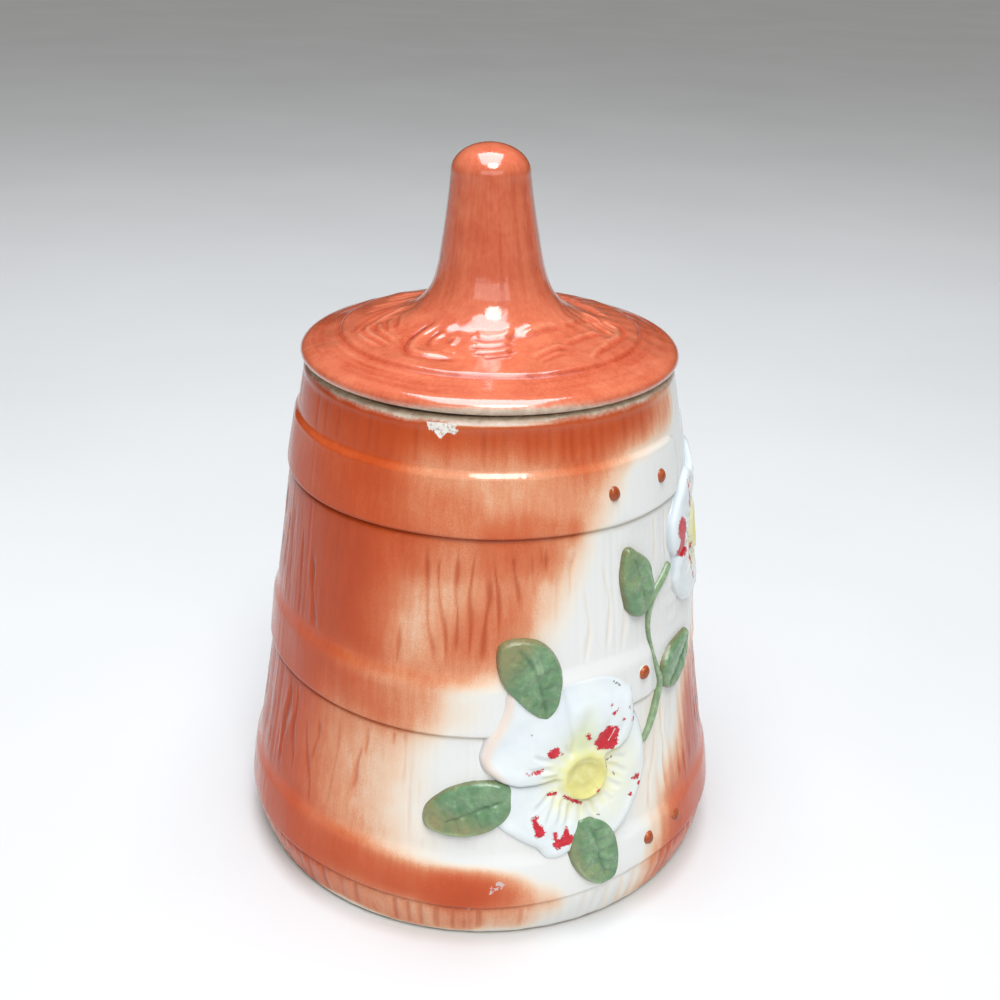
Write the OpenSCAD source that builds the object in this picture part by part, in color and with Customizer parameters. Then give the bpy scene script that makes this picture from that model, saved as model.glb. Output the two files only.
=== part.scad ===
// Lidded ceramic jar shaped like a butter churn.
// Millimetres, +Z up, origin on the floor at the centre of the foot.
// The decorated side faces -Y and +X. Angles on the wall ("az") are counted
// from -Y towards +X, so az 0 is the front and az 90 is the +X side.

/* [Jar] */
// Radius of the foot where the jar stands
foot_r = 90; // [84:1:96]
// Height of the jar from the floor to its rim
jar_h = 194; // [186:1:204]
// Thickness of the cast wall
wall_t = 5; // [4:0.5:6]
// Thickness of the floor above the recess
floor_t = 6; // [5:0.5:9]
// Height of the dry foot ring
foot_ring_h = 1.5; // [1:0.5:2.5]

/* [Hoops] */
// How far the moulded hoops stand out from the wall
hoop_rise = 1.2; // [0.8:0.1:1.8]
// Depth of the groove under each hoop
hoop_groove = 0.6; // [0.3:0.1:0.9]
// Radius of a rivet head
rivet_r = 2.3; // [1.8:0.1:3]

/* [Lid] */
// Largest radius of the lid
lid_r = 69; // [67:0.5:72]
// Height of the whole jar with its lid
total_h = 270; // [258:1:284]
// Radius of the knob below its rounded top
knob_r = 14.1; // [13:0.1:17]
// Thickness of the lid casting
lid_t = 5.2; // [4.5:0.1:6]
// Depth of the locating flange below the rim
flange_h = 9; // [6:0.5:12]
// Radial gap between the flange and the mouth
flange_gap = 1.2; // [0.8:0.1:2]

/* [Relief] */
// How far the petals stand out from the wall
petal_rise = 2.2; // [1.4:0.1:3]
// How far the leaves stand out from the wall
leaf_rise = 2.0; // [1.4:0.1:3]
// How far the vine stands out from the wall
vine_rise = 1.6; // [1:0.1:2.4]
// How deep each piece of relief is set into the wall
bond = 0.8; // [0.5:0.1:1.2]

/* [Hidden] */

terracotta = [0.78, 0.33, 0.18];
cream = [0.90, 0.91, 0.89];
leaf_green = [0.38, 0.55, 0.40];
vine_green = [0.47, 0.60, 0.44];
rivet_brown = [0.66, 0.32, 0.16];

// Radius of the plain wall against height, for a foot of 90 and a height of 194
wall_table = [[0, 90], [16, 93.8], [36, 91.4], [60, 87.3], [82, 83.8],
              [106, 80.9], [130, 77.6], [154, 74.4], [178, 70.3], [194, 67.4]];
function wall_r(z) = lookup(z * 194 / jar_h, wall_table) * foot_r / 90;

// Lower and upper edge of each hoop
hoop_1 = [154.6, 177];
hoop_2 = [82.8, 104];
hoop_3 = [17, 35.5];
hoops = [hoop_3, hoop_2, hoop_1];

// One hoop's outline, from the groove below it to the soft bevel above it
function hoop_pts(h) = [
    [wall_r(h[0] - 1.6), h[0] - 1.6],
    [wall_r(h[0]) - hoop_groove, h[0] - 0.7],
    [wall_r(h[0]) - hoop_groove, h[0] - 0.3],
    [wall_r(h[0]) + hoop_rise - 0.5, h[0]],
    [wall_r(h[0]) + hoop_rise, h[0] + 0.7],
    [wall_r(h[1] - 5) + hoop_rise, h[1] - 5],
    [wall_r(h[1] - 2.6) + hoop_rise * 0.9, h[1] - 2.6],
    [wall_r(h[1] - 1) + hoop_rise * 0.55, h[1] - 1],
    [wall_r(h[1] + 1.2), h[1] + 1.2]];

jar_outer = concat(
    [[foot_r - 1.4, 0], [foot_r - 0.4, 0.5], [foot_r + 0.3, 1.6], [wall_r(8), 8]],
    hoop_pts(hoop_3),
    [for (z = [46, 60, 71]) [wall_r(z), z]],
    hoop_pts(hoop_2),
    [for (z = [118, 130, 142]) [wall_r(z), z]],
    hoop_pts(hoop_1),
    [[wall_r(jar_h - 3), jar_h - 3],
     [wall_r(jar_h) - 0.4, jar_h - 1],
     [wall_r(jar_h) - 1.4, jar_h]]);
mouth_r = wall_r(jar_h) - wall_t;
jar_inner = concat(
    [[mouth_r + 1.2, jar_h], [mouth_r + 0.3, jar_h - 0.6], [mouth_r, jar_h - 1.6]],
    [for (i = [8:-1:1]) let (z = 18 + i * (jar_h - 34) / 8) [wall_r(z) - wall_t, z]],
    [[wall_r(18) - wall_t, 18], [wall_r(12) - wall_t - 1.4, 12],
     [wall_r(8) - wall_t - 5, foot_ring_h + floor_t + 1.2],
     [wall_r(8) - wall_t - 10, foot_ring_h + floor_t],
     [0, foot_ring_h + floor_t],
     [0, foot_ring_h], [foot_r - 13, foot_ring_h], [foot_r - 11.5, 0]]);

module jar_body() {
    color(terracotta)
        rotate_extrude($fn = 160) polygon(concat(jar_outer, jar_inner));
}

// ---- lid ----
lid_seat = jar_h;
flange_r = mouth_r - flange_gap;
knob_top = total_h;
lid_ring_r = lid_r - 14.4;
// Outer outline of the lid, from its seat on the rim to the root of the knob
lid_outer = [
    [lid_r - 2.2, lid_seat], [lid_r - 0.7, lid_seat + 0.7],
    [lid_r, lid_seat + 1.9], [lid_r, lid_seat + 3.4],
    [lid_r - 0.9, lid_seat + 5], [lid_r - 2.6, lid_seat + 6.1],
    [lid_r - 5, lid_seat + 6.9],
    [lid_ring_r + 1, lid_seat + 9.2], [lid_ring_r + 0.2, lid_seat + 9.7],
    [lid_ring_r - 0.8, lid_seat + 10.7], [lid_ring_r - 2.2, lid_seat + 11.1],
    [45, lid_seat + 12.4], [38, lid_seat + 13.9], [32, lid_seat + 15.9],
    [28, lid_seat + 18], [25.4, lid_seat + 20.4], [23.7, lid_seat + 22.5],
    [21.8, lid_seat + 25.7], [20.3, lid_seat + 29.4]];
knob_foot = lid_seat + 34;
knob_neck = knob_top - 10;
// The knob narrows towards its top in a slow curve
function knob_at(t) = knob_r + 4.9 * pow(1 - t, 1.2);
knob_outer = [for (i = [0:7]) [knob_at(i / 7), knob_foot + i / 7 * (knob_neck - knob_foot)]];
knob_cap = [for (a = [12:12:84]) [knob_r * cos(a), knob_neck + 10 * sin(a)]];
// Underside: a flat seat, the flange, a shallow hollow, and the knob's own hollow
lid_under = [
    [0, knob_top - lid_t], [4, knob_top - lid_t - 0.5], [knob_r - lid_t - 1.6, knob_top - lid_t - 3],
    [knob_r - lid_t, knob_top - lid_t - 8], [knob_at(0.4) - lid_t, knob_foot + 12],
    [knob_at(0) - lid_t, knob_foot], [17.2, lid_seat + 24], [20.6, lid_seat + 17.6],
    [26, lid_seat + 12.6], [34, lid_seat + 9.3], [44, lid_seat + 7.2],
    [flange_r - 6.4, lid_seat + 4.6], [flange_r - lid_t, lid_seat + 3.2],
    [flange_r - lid_t + 0.4, lid_seat - flange_h + 1.4],
    [flange_r - lid_t + 1.6, lid_seat - flange_h],
    [flange_r - 1.6, lid_seat - flange_h], [flange_r - 0.4, lid_seat - flange_h + 1.4],
    [flange_r, lid_seat]];

module lid() {
    color(terracotta)
        rotate_extrude($fn = 160)
            polygon(concat(lid_outer, knob_outer, knob_cap, [[0, knob_top]], lid_under));
}

// ---- relief ----
// Places a shape drawn flat (x to the right, y up) against the wall at az, z,
// with +Z of the shape pointing straight out of the wall
module on_wall(az, z) {
    rotate([0, 0, az]) translate([0, -wall_r(z), z]) rotate([90, 0, 0]) children();
}

// A skin that follows the wall between two heights, from inset below its surface
// to rise above it
module skin(z0, z1, rise, inset = bond) {
    steps = 4;
    zs = [for (i = [0:steps]) z0 + (z1 - z0) * i / steps];
    rotate([0, 0, 170]) rotate_extrude($fn = 120)
        polygon(concat([for (z = zs) [wall_r(z) + rise, z]],
                       [for (i = [steps:-1:0]) [wall_r(zs[i]) - inset, zs[i]]]));
}

// Outline of a leaf along +x, with a pointed tip at +len / 2
function leaf_pts(len, wid, tip) = [for (i = [0:21]) let (
    a = i * 360 / 22,
    x = len / 2 * cos(a),
    w = wid / 2 * sin(a) * (1 - tip * pow((1 + cos(a)) / 2, 2)))
    [x, w]];
// Outline of a petal that widens away from the flower's centre at the origin
function petal_pts(len, wid) = [for (i = [0:21]) let (
    a = i * 360 / 22,
    x = len / 2 * (1 + cos(a)) - (abs(a - 180) > 165 ? 1.2 : 0),
    w = wid / 2 * sin(a) * (0.62 + 0.5 * x / len))
    [x, w]];

// A leaf: az, z, length, width, turn of its tip from +x, sharpness of its tip
leaf_mid_at    = [12, 105, 33, 21.5, 115, 0.15];
leaf_left_at   = [-2.4, 56, 34.5, 20.5, 201, 0.20];
leaf_bottom_at = [26.5, 34.8, 31, 20.5, 114, 0.20];
leaf_upper_at  = [43, 131, 28, 16.5, 103, 0.30];
leaf_right_at  = [59.2, 90.5, 26, 14, 24, 0.40];
leaves_over_lower = [leaf_mid_at, leaf_left_at, leaf_bottom_at];

module leaf_prism(p, grow = 0) {
    on_wall(p[0], p[1]) rotate([0, 0, p[4]])
        linear_extrude(height = 24, center = true)
            polygon(leaf_pts(p[2] + grow, p[3] + grow, p[5]));
}
module leaf(p) {
    color(leaf_green)
        intersection() {
            leaf_prism(p);
            skin(p[1] - 22, p[1] + 22, leaf_rise);
        }
}
module leaf_mid() { leaf(leaf_mid_at); }
module leaf_left() { leaf(leaf_left_at); }
module leaf_bottom() {
    color(leaf_green)
        intersection() {
            leaf_prism(leaf_bottom_at);
            skin(6, 56, leaf_rise + 0.8);
        }
}
module leaf_upper() { leaf(leaf_upper_at); }
module leaf_right() { leaf(leaf_right_at); }

// Flower: az, z of its centre, then [turn, length, width] of each petal
lower_at = [24, 65.5];
lower_petals = [[70, 40, 31], [-37, 35, 30], [-122, 34, 28], [155, 36, 26]];
upper_at = [80.6, 132.7];
upper_petals = [[115, 36, 27], [205, 30, 26], [-62, 33, 28], [28, 34, 28]];

module flower(at, petals, rise) {
    z0 = at[1] - 42;
    z1 = at[1] + 42;
    intersection() {
        on_wall(at[0], at[1])
            for (p = petals) rotate([0, 0, p[0]])
                linear_extrude(height = 40, center = true) polygon(petal_pts(p[1], p[2]));
        skin(z0, z1, rise);
    }
    // raised rim and dished centre
    intersection() {
        on_wall(at[0], at[1]) difference() {
            cylinder(r = 9.4, h = 40, center = true, $fn = 48);
            cylinder(r = 7.2, h = 41, center = true, $fn = 48);
        }
        skin(z0 + 2, z1 - 2, rise + 0.9, bond / 2);
    }
    intersection() {
        on_wall(at[0], at[1]) cylinder(r = 3, h = 40, center = true, $fn = 32);
        skin(z0 + 4, z1 - 4, rise + 0.5, bond / 4);
    }
}

module lower_blossom() {
    color(cream)
        difference() {
            flower(lower_at, lower_petals, petal_rise);
            for (p = leaves_over_lower) leaf_prism(p, 0.02);
        }
}
module upper_blossom() {
    color(cream) flower(upper_at, upper_petals, petal_rise);
}

// Vine: points across and up from az 52, z 98, thin in the middle and thicker
// at both ends
vine_at = [52, 98];
vine_path = [[8, 32], [1.5, 28], [-3.5, 24.4], [-6.3, 19.5], [-7.3, 12], [-5.6, 4],
             [-2.9, -5], [-1.4, -11], [-4.5, -18], [-9, -25], [-13.5, -30]];
vine_w = [3.2, 3.4, 2.6, 1.8, 1.4, 1.6, 2.2, 3, 3, 2.8, 2.2];
function unit(v) = v / norm(v);
function vine_dir(i) = unit(vine_path[min(i + 1, len(vine_path) - 1)] - vine_path[max(i - 1, 0)]);
function vine_side(i, s) = vine_path[i] + s * vine_w[i] / 2 * [-vine_dir(i)[1], vine_dir(i)[0]];
vine_outline = concat([for (i = [0:len(vine_path) - 1]) vine_side(i, 1)],
                      [for (i = [len(vine_path) - 1:-1:0]) vine_side(i, -1)]);

module vine_stem() {
    color(vine_green)
        difference() {
            intersection() {
                on_wall(vine_at[0], vine_at[1])
                    linear_extrude(height = 24, center = true) polygon(vine_outline);
                skin(58, 138, vine_rise);
            }
            leaf_prism(leaf_right_at, 0.02);
            leaf_prism(leaf_upper_at, 0.02);
        }
}

// Rivet heads: az and z of each one on its hoop
rivets = [[35.5, 165.5], [55, 165], [44, 95.5], [42.5, 29], [53, 30]];
module hoop_rivets() {
    color(rivet_brown)
        for (p = rivets)
            rotate([0, 0, p[0]])
                translate([0, -(wall_r(p[1]) + hoop_rise - 0.8), p[1]])
                    sphere(r = rivet_r, $fn = 32);
}

jar_body();
lid();
lower_blossom();
upper_blossom();
leaf_mid();
leaf_left();
leaf_bottom();
leaf_upper();
leaf_right();
vine_stem();
hoop_rivets();
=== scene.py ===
import math

import bpy
import numpy as np
from mathutils import Matrix, Vector


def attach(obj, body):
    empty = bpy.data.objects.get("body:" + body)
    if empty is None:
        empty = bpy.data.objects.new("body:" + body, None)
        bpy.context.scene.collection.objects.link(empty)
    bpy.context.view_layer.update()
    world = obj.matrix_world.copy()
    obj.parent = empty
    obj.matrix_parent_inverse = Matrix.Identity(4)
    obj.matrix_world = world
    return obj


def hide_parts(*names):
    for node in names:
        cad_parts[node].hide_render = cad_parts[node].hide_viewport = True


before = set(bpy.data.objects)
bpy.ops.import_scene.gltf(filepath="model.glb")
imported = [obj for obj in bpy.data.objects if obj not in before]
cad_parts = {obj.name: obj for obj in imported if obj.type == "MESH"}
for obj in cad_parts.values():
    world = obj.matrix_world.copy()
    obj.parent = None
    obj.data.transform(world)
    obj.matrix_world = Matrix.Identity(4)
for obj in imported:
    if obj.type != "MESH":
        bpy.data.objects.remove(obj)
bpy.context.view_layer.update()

MM = 0.001
rng = np.random.default_rng(41)
scene = bpy.context.scene


# ---------------------------------------------------------------- helpers
# Lengths in the mesh code are millimetres. "az" is degrees round the wall,
# 0 at the front (-Y) and 90 at +X.
def sstep(x, a, b):
    t = np.clip((x - a) / (b - a), 0.0, 1.0)
    return t * t * (3.0 - 2.0 * t)


def bell(x, c, w):
    return np.exp(-(((x - c) / w) ** 2))


def curve(xs, ys, x):
    """A smooth curve through given points, without overshoot."""
    xs, ys, x = np.asarray(xs, float), np.asarray(ys, float), np.asarray(x, float)
    h = np.diff(xs)
    d = np.diff(ys) / h
    m = np.zeros_like(ys)
    m[0], m[-1] = d[0], d[-1]
    for i in range(1, len(xs) - 1):
        if d[i - 1] * d[i] > 0:
            w1, w2 = 2 * h[i] + h[i - 1], h[i] + 2 * h[i - 1]
            m[i] = (w1 + w2) / (w1 / d[i - 1] + w2 / d[i])
    i = np.clip(np.searchsorted(xs, x) - 1, 0, len(xs) - 2)
    t = np.clip((x - xs[i]) / h[i], 0.0, 1.0)
    return ((1 + 2 * t) * (1 - t) ** 2 * ys[i] + t * (1 - t) ** 2 * h[i] * m[i]
            + t * t * (3 - 2 * t) * ys[i + 1] + t * t * (t - 1) * h[i] * m[i + 1])


def smooth_line(pts, n=6):
    """Points along a soft curve through given points (Catmull-Rom)."""
    p = np.asarray(pts, float)
    if len(p) < 3:
        return p
    q = np.vstack([2 * p[0] - p[1], p, 2 * p[-1] - p[-2]])
    out = []
    for i in range(1, len(q) - 2):
        for t in np.arange(n) / n:
            out.append(0.5 * (2 * q[i] + (q[i + 1] - q[i - 1]) * t
                              + (2 * q[i - 1] - 5 * q[i] + 4 * q[i + 1] - q[i + 2]) * t ** 2
                              + (-q[i - 1] + 3 * q[i] - 3 * q[i + 1] + q[i + 2]) * t ** 3))
    out.append(p[-1])
    return np.array(out)


def to_line(x, y, line):
    """Distance of each point to a polyline, the place along it (0..1) and the side (+ left)."""
    line = np.asarray(line, float)
    seg = np.diff(line, axis=0)
    length = np.hypot(seg[:, 0], seg[:, 1])
    start = np.concatenate([[0], np.cumsum(length)])
    best = np.full(x.shape, 1e9)
    along = np.zeros(x.shape)
    side = np.zeros(x.shape)
    for k in range(len(seg)):
        if length[k] < 1e-9:
            continue
        dx, dy = x - line[k, 0], y - line[k, 1]
        t = np.clip((dx * seg[k, 0] + dy * seg[k, 1]) / length[k] ** 2, 0, 1)
        d = np.hypot(dx - t * seg[k, 0], dy - t * seg[k, 1])
        m = d < best
        best = np.where(m, d, best)
        along = np.where(m, (start[k] + t * length[k]) / start[-1], along)
        side = np.where(m, np.sign(seg[k, 0] * dy - seg[k, 1] * dx), side)
    return best, along, side


def inside(x, y, poly):
    """Signed distance to a closed outline, positive inside."""
    poly = np.asarray(poly, float)
    d, _, _ = to_line(x, y, np.vstack([poly, poly[:1]]))
    hit = np.zeros(x.shape, bool)
    n = len(poly)
    for i in range(n):
        x0, y0 = poly[i]
        x1, y1 = poly[(i + 1) % n]
        if y0 == y1:
            continue
        m = ((y0 > y) != (y1 > y)) & (x < (x1 - x0) * (y - y0) / (y1 - y0) + x0)
        hit ^= m
    return np.where(hit, d, -d)


class Waves:
    """Seeded soft unevenness that closes on itself round the jar."""

    def __init__(self, seed, n, k_az, k_z):
        g = np.random.default_rng(seed)
        self.k = g.integers(k_az[0], k_az[1], n)
        self.l = g.uniform(k_z[0], k_z[1], n)
        self.p = g.uniform(0, 2 * math.pi, n)
        self.a = g.uniform(0.4, 1.0, n)
        self.a /= np.sqrt((self.a ** 2).sum() / 2)

    def __call__(self, az, z):
        t = np.radians(az)
        out = np.zeros(np.broadcast(az, z).shape)
        for k, l, p, a in zip(self.k, self.l, self.p, self.a):
            out += a * np.sin(k * t + l * z + p)
        return out


def make(name, verts, faces, attrs, mat, body, nodes):
    me = bpy.data.meshes.new(name)
    me.from_pydata((np.asarray(verts) * MM).tolist(), [], faces)
    me.validate(clean_customdata=False)
    me.polygons.foreach_set("use_smooth", np.ones(len(me.polygons), bool))
    for key, val in attrs.items():
        at = me.attributes.new(key, "FLOAT", "POINT")
        at.data.foreach_set("value", np.asarray(val, np.float32).ravel())
    me.materials.append(mat)
    me.update()
    ob = bpy.data.objects.new(name, me)
    scene.collection.objects.link(ob)
    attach(ob, body)
    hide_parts(*nodes)
    return ob


def shell_faces(nj, ni, first, last):
    """Faces of a closed shell of nj rings of ni points, with one point at each end."""
    i = np.arange(ni)
    k = (i + 1) % ni
    faces = []
    for j in range(nj - 1):
        a, b = j * ni, (j + 1) * ni
        faces += np.stack([a + i, a + k, b + k, b + i], 1).tolist()
    faces += np.stack([np.full(ni, first), k, i], 1).tolist()
    e = (nj - 1) * ni
    faces += np.stack([e + i, e + k, np.full(ni, last)], 1).tolist()
    return faces


# ---------------------------------------------------------------- materials
def lin(r, g, b):
    f = lambda c: c / 12.92 if c <= 0.04045 else ((c + 0.055) / 1.055) ** 2.4
    return (f(r / 255.0), f(g / 255.0), f(b / 255.0), 1.0)


class Paint:
    """Short names for building a node material."""

    def __init__(self, name, rough=0.15, coat=0.0, ior=1.5, spec=0.5):
        self.m = bpy.data.materials.new(name)
        self.m.use_nodes = True
        self.t = self.m.node_tree
        self.t.nodes.clear()
        out = self.t.nodes.new("ShaderNodeOutputMaterial")
        self.b = self.t.nodes.new("ShaderNodeBsdfPrincipled")
        self.t.links.new(self.b.outputs[0], out.inputs[0])
        self.b.inputs["Roughness"].default_value = rough
        self.b.inputs["IOR"].default_value = ior
        self.b.inputs["Specular IOR Level"].default_value = spec
        self.b.inputs["Coat Weight"].default_value = coat
        self.b.inputs["Coat Roughness"].default_value = 0.04
        self.obj = self.t.nodes.new("ShaderNodeTexCoord").outputs["Object"]

    def put(self, socket, val):
        if isinstance(val, bpy.types.NodeSocket):
            self.t.links.new(val, socket)
        elif val is not None:
            socket.default_value = val

    def attr(self, name):
        n = self.t.nodes.new("ShaderNodeAttribute")
        n.attribute_name = name
        return n.outputs["Fac"]

    def z(self):
        n = self.t.nodes.new("ShaderNodeSeparateXYZ")
        self.t.links.new(self.obj, n.inputs[0])
        return n.outputs["Z"]

    def noise(self, scale, detail=3.0, rough=0.55, stretch=(1, 1, 1), shift=(0, 0, 0), warp=0.0):
        mp = self.t.nodes.new("ShaderNodeMapping")
        mp.inputs["Scale"].default_value = stretch
        mp.inputs["Location"].default_value = shift
        self.t.links.new(self.obj, mp.inputs[0])
        n = self.t.nodes.new("ShaderNodeTexNoise")
        self.t.links.new(mp.outputs[0], n.inputs["Vector"])
        n.inputs["Scale"].default_value = scale
        n.inputs["Detail"].default_value = detail
        n.inputs["Roughness"].default_value = rough
        n.inputs["Distortion"].default_value = warp
        return n.outputs["Fac"]

    def cells(self, scale, stretch=(1, 1, 1), rand=1.0):
        mp = self.t.nodes.new("ShaderNodeMapping")
        mp.inputs["Scale"].default_value = stretch
        self.t.links.new(self.obj, mp.inputs[0])
        n = self.t.nodes.new("ShaderNodeTexVoronoi")
        self.t.links.new(mp.outputs[0], n.inputs["Vector"])
        n.inputs["Scale"].default_value = scale
        n.inputs["Randomness"].default_value = rand
        return n.outputs["Distance"]

    def math(self, op, a, b=None, c=None, clamp=False):
        n = self.t.nodes.new("ShaderNodeMath")
        n.operation = op
        n.use_clamp = clamp
        for s, v in zip(n.inputs, (a, b, c)):
            self.put(s, v)
        return n.outputs[0]

    def fit(self, x, a, b, lo=0.0, hi=1.0, soft=True):
        n = self.t.nodes.new("ShaderNodeMapRange")
        n.interpolation_type = "SMOOTHSTEP" if soft else "LINEAR"
        self.put(n.inputs["Value"], x)
        for key, v in (("From Min", a), ("From Max", b), ("To Min", lo), ("To Max", hi)):
            n.inputs[key].default_value = v
        return n.outputs[0]

    def ramp(self, fac, stops):
        n = self.t.nodes.new("ShaderNodeValToRGB")
        self.put(n.inputs[0], fac)
        r = n.color_ramp
        while len(r.elements) < len(stops):
            r.elements.new(0.5)
        for e, (p, c) in zip(r.elements, stops):
            e.position, e.color = p, c
        return n.outputs[0]

    def mix(self, fac, a, b, kind="MIX"):
        n = self.t.nodes.new("ShaderNodeMix")
        n.data_type = "RGBA"
        n.blend_type = kind
        self.put(n.inputs[0], fac)
        self.put(n.inputs[6], a)
        self.put(n.inputs[7], b)
        return n.outputs[2]

    def bump(self, height, strength, dist, under=None):
        n = self.t.nodes.new("ShaderNodeBump")
        n.inputs["Strength"].default_value = strength
        n.inputs["Distance"].default_value = dist
        self.put(n.inputs["Height"], height)
        if under is not None:
            self.t.links.new(under, n.inputs["Normal"])
        return n.outputs[0]

    def done(self, colour, rough, normal=None):
        self.put(self.b.inputs["Base Color"], colour)
        self.put(self.b.inputs["Roughness"], rough)
        if normal is not None:
            self.put(self.b.inputs["Normal"], normal)
            self.put(self.b.inputs["Coat Normal"], normal)
        return self.m


WHITE = lin(228, 231, 231)
BISQUE = lin(222, 206, 184)


def body_glaze():
    """Airbrushed underglaze on white clay beneath a clear gloss glaze."""
    p = Paint("body_glaze", coat=0.08, spec=0.22)
    paint, cav = p.attr("paint"), p.attr("cav")
    tone, rim, chipped = p.attr("tone"), p.attr("rim"), p.attr("chip")
    cloud = p.noise(38, 4, 0.6)
    streak = p.noise(420, 4, 0.65, stretch=(1, 1, 0.07))
    fine = p.noise(1700, 3, 0.6, stretch=(1, 1, 0.12))
    spray = p.noise(2600, 2, 0.7)
    # the airbrush lays down more in some places than in others
    a = p.math("ADD", paint, p.math("MULTIPLY", p.fit(cloud, 0.3, 0.7, -0.07, 0.07),
                                    p.fit(paint, 0.02, 0.3)))
    a = p.math("ADD", a, p.math("MULTIPLY", p.fit(streak, 0.3, 0.72, -0.045, 0.05),
                                p.fit(paint, 0.05, 0.5)))
    a = p.math("ADD", a, p.math("MULTIPLY", p.fit(spray, 0.3, 0.7, -0.06, 0.06),
                                p.fit(paint, 0.02, 0.4)))
    a = p.math("ADD", a, p.math("MULTIPLY", cav, p.fit(paint, 0.0, 0.55, 0.05, 0.2)))
    col = p.ramp(a, [(0.0, WHITE), (0.07, lin(234, 227, 215)), (0.2, lin(234, 202, 174)),
                     (0.42, lin(222, 152, 113)), (0.64, lin(208, 116, 77)),
                     (0.86, lin(200, 91, 50)), (1.0, lin(192, 78, 37))])
    # deeper red-brown where the coats overlap; down the left side this deeper tone is also painted shade
    deep = p.ramp(streak, [(0.3, lin(166, 58, 24)), (0.7, lin(192, 78, 36))])
    col = p.mix(p.math("MULTIPLY", tone, p.fit(a, 0.3, 0.9)), col, deep)
    # pigment settled in the grooves
    col = p.mix(p.math("MULTIPLY", cav, p.fit(paint, 0.1, 0.9, 0.03, 0.42)), col, lin(136, 52, 26))
    col = p.mix(p.math("MULTIPLY", p.fit(fine, 0.62, 0.8, 0.0, 0.14), p.fit(paint, 0.0, 0.5, 0.1, 1.0)), col, lin(150, 66, 36))
    # tiny iron specks
    spots = p.cells(260)
    col = p.mix(p.math("MULTIPLY", p.fit(spots, 0.05, 0.02), p.fit(cloud, 0.5, 0.6, 0, 0.7)),
                col, lin(96, 60, 44))
    # bare clay above the ragged glaze line, and in the chip below it
    jag = p.fit(p.noise(620, 4, 0.65), 0.3, 0.7, -0.35, 0.35)
    worn = p.math("ADD", rim, jag)
    col = p.mix(p.fit(worn, -1.5, 0.0, 0.0, 0.6), col, lin(224, 176, 154))
    bare = p.fit(worn, -0.25, 0.3)
    lost = p.fit(p.math("ADD", chipped, p.math("MULTIPLY", jag, 1.6)), -0.1, 0.12)
    clay = p.ramp(p.noise(300, 5, 0.6), [(0.3, lin(190, 168, 144)), (0.55, BISQUE),
                                        (0.8, lin(232, 220, 202))])
    col = p.mix(bare, col, clay)
    flaw = p.ramp(p.noise(900, 4, 0.7), [(0.38, lin(196, 176, 160)), (0.5, lin(236, 234, 226))])
    # the scuff near the foot is only rubbed, and looks silvery
    flaw = p.mix(p.fit(p.z(), 0.05, 0.04), flaw, lin(206, 184, 182))
    col = p.mix(lost, col, flaw)
    bare = p.math("MAXIMUM", bare, lost)
    rough = p.math("ADD", p.fit(cloud, 0.3, 0.7, 0.16, 0.26),
                   p.math("MULTIPLY", bare, 0.5))
    nrm = p.bump(streak, 0.05, 0.0006)
    nrm = p.bump(cloud, 0.10, 0.0010, nrm)
    nrm = p.bump(spray, 0.05, 0.00008, nrm)
    # the glaze lies thicker, and shines more, on the ledges of the straps and under the mouth
    p.put(p.b.inputs["Coat Weight"], p.fit(p.attr("gloss"), 0.0, 1.0, 0.08, 1.0))
    return p.done(col, rough, nrm)


# ---------------------------------------------------------------- jar body
Z_WALL = [0, 16, 36, 60, 82, 106, 130, 154, 178, 194]
R_WALL = [90, 93.8, 91.4, 87.3, 83.8, 80.9, 77.6, 74.4, 70.3, 67.4]


def wall_r(z):
    return curve(Z_WALL, R_WALL, z)


# lower edge of each hoop round the wall, as the strap was laid by hand
HOOP1 = ([-180, -20, 0, 20, 40, 58, 90, 180], [154.6, 154.6, 154.3, 154.2, 153.8, 154.2, 154.6, 154.6])
HOOP2 = ([-180, -40, -10, 10, 28, 44, 58, 90, 180], [82.9, 83.0, 82.8, 83.0, 84.0, 84.6, 84.2, 83.0, 82.9])
HOOP3 = ([-180, -40, -20, 0, 15, 25, 37, 48, 62, 90, 180],
         [17.5, 17.5, 16.9, 16.2, 17.0, 17.9, 19.5, 20.0, 19.4, 17.8, 17.5])


def hoop_low(table, az):
    return curve(table[0], table[1], az)


LOW_T = [-3.2, -1.8, -1.0, -0.55, -0.3, 0.0, 0.25, 0.6, 1.1]
LOW_V = [0.0, -0.07, -0.32, -0.5, -0.5, 0.35, 0.8, 1.02, 1.1]


def hoop(z, low, top0, top1, rise=1.2, dip=0.1):
    """Height of one strap: a sharp shadow line under it and a bevel on top."""
    t = z - low
    v = np.interp(t, LOW_T, LOW_V) * (rise / 1.1)
    v = np.where(t < 0, np.interp(t, LOW_T, LOW_V), v)
    top = 1 - sstep(z, top0, top1)
    return np.where(t > 1.1, rise * top - dip * bell(z, top1 + 0.5, 1.2), v)


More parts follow.
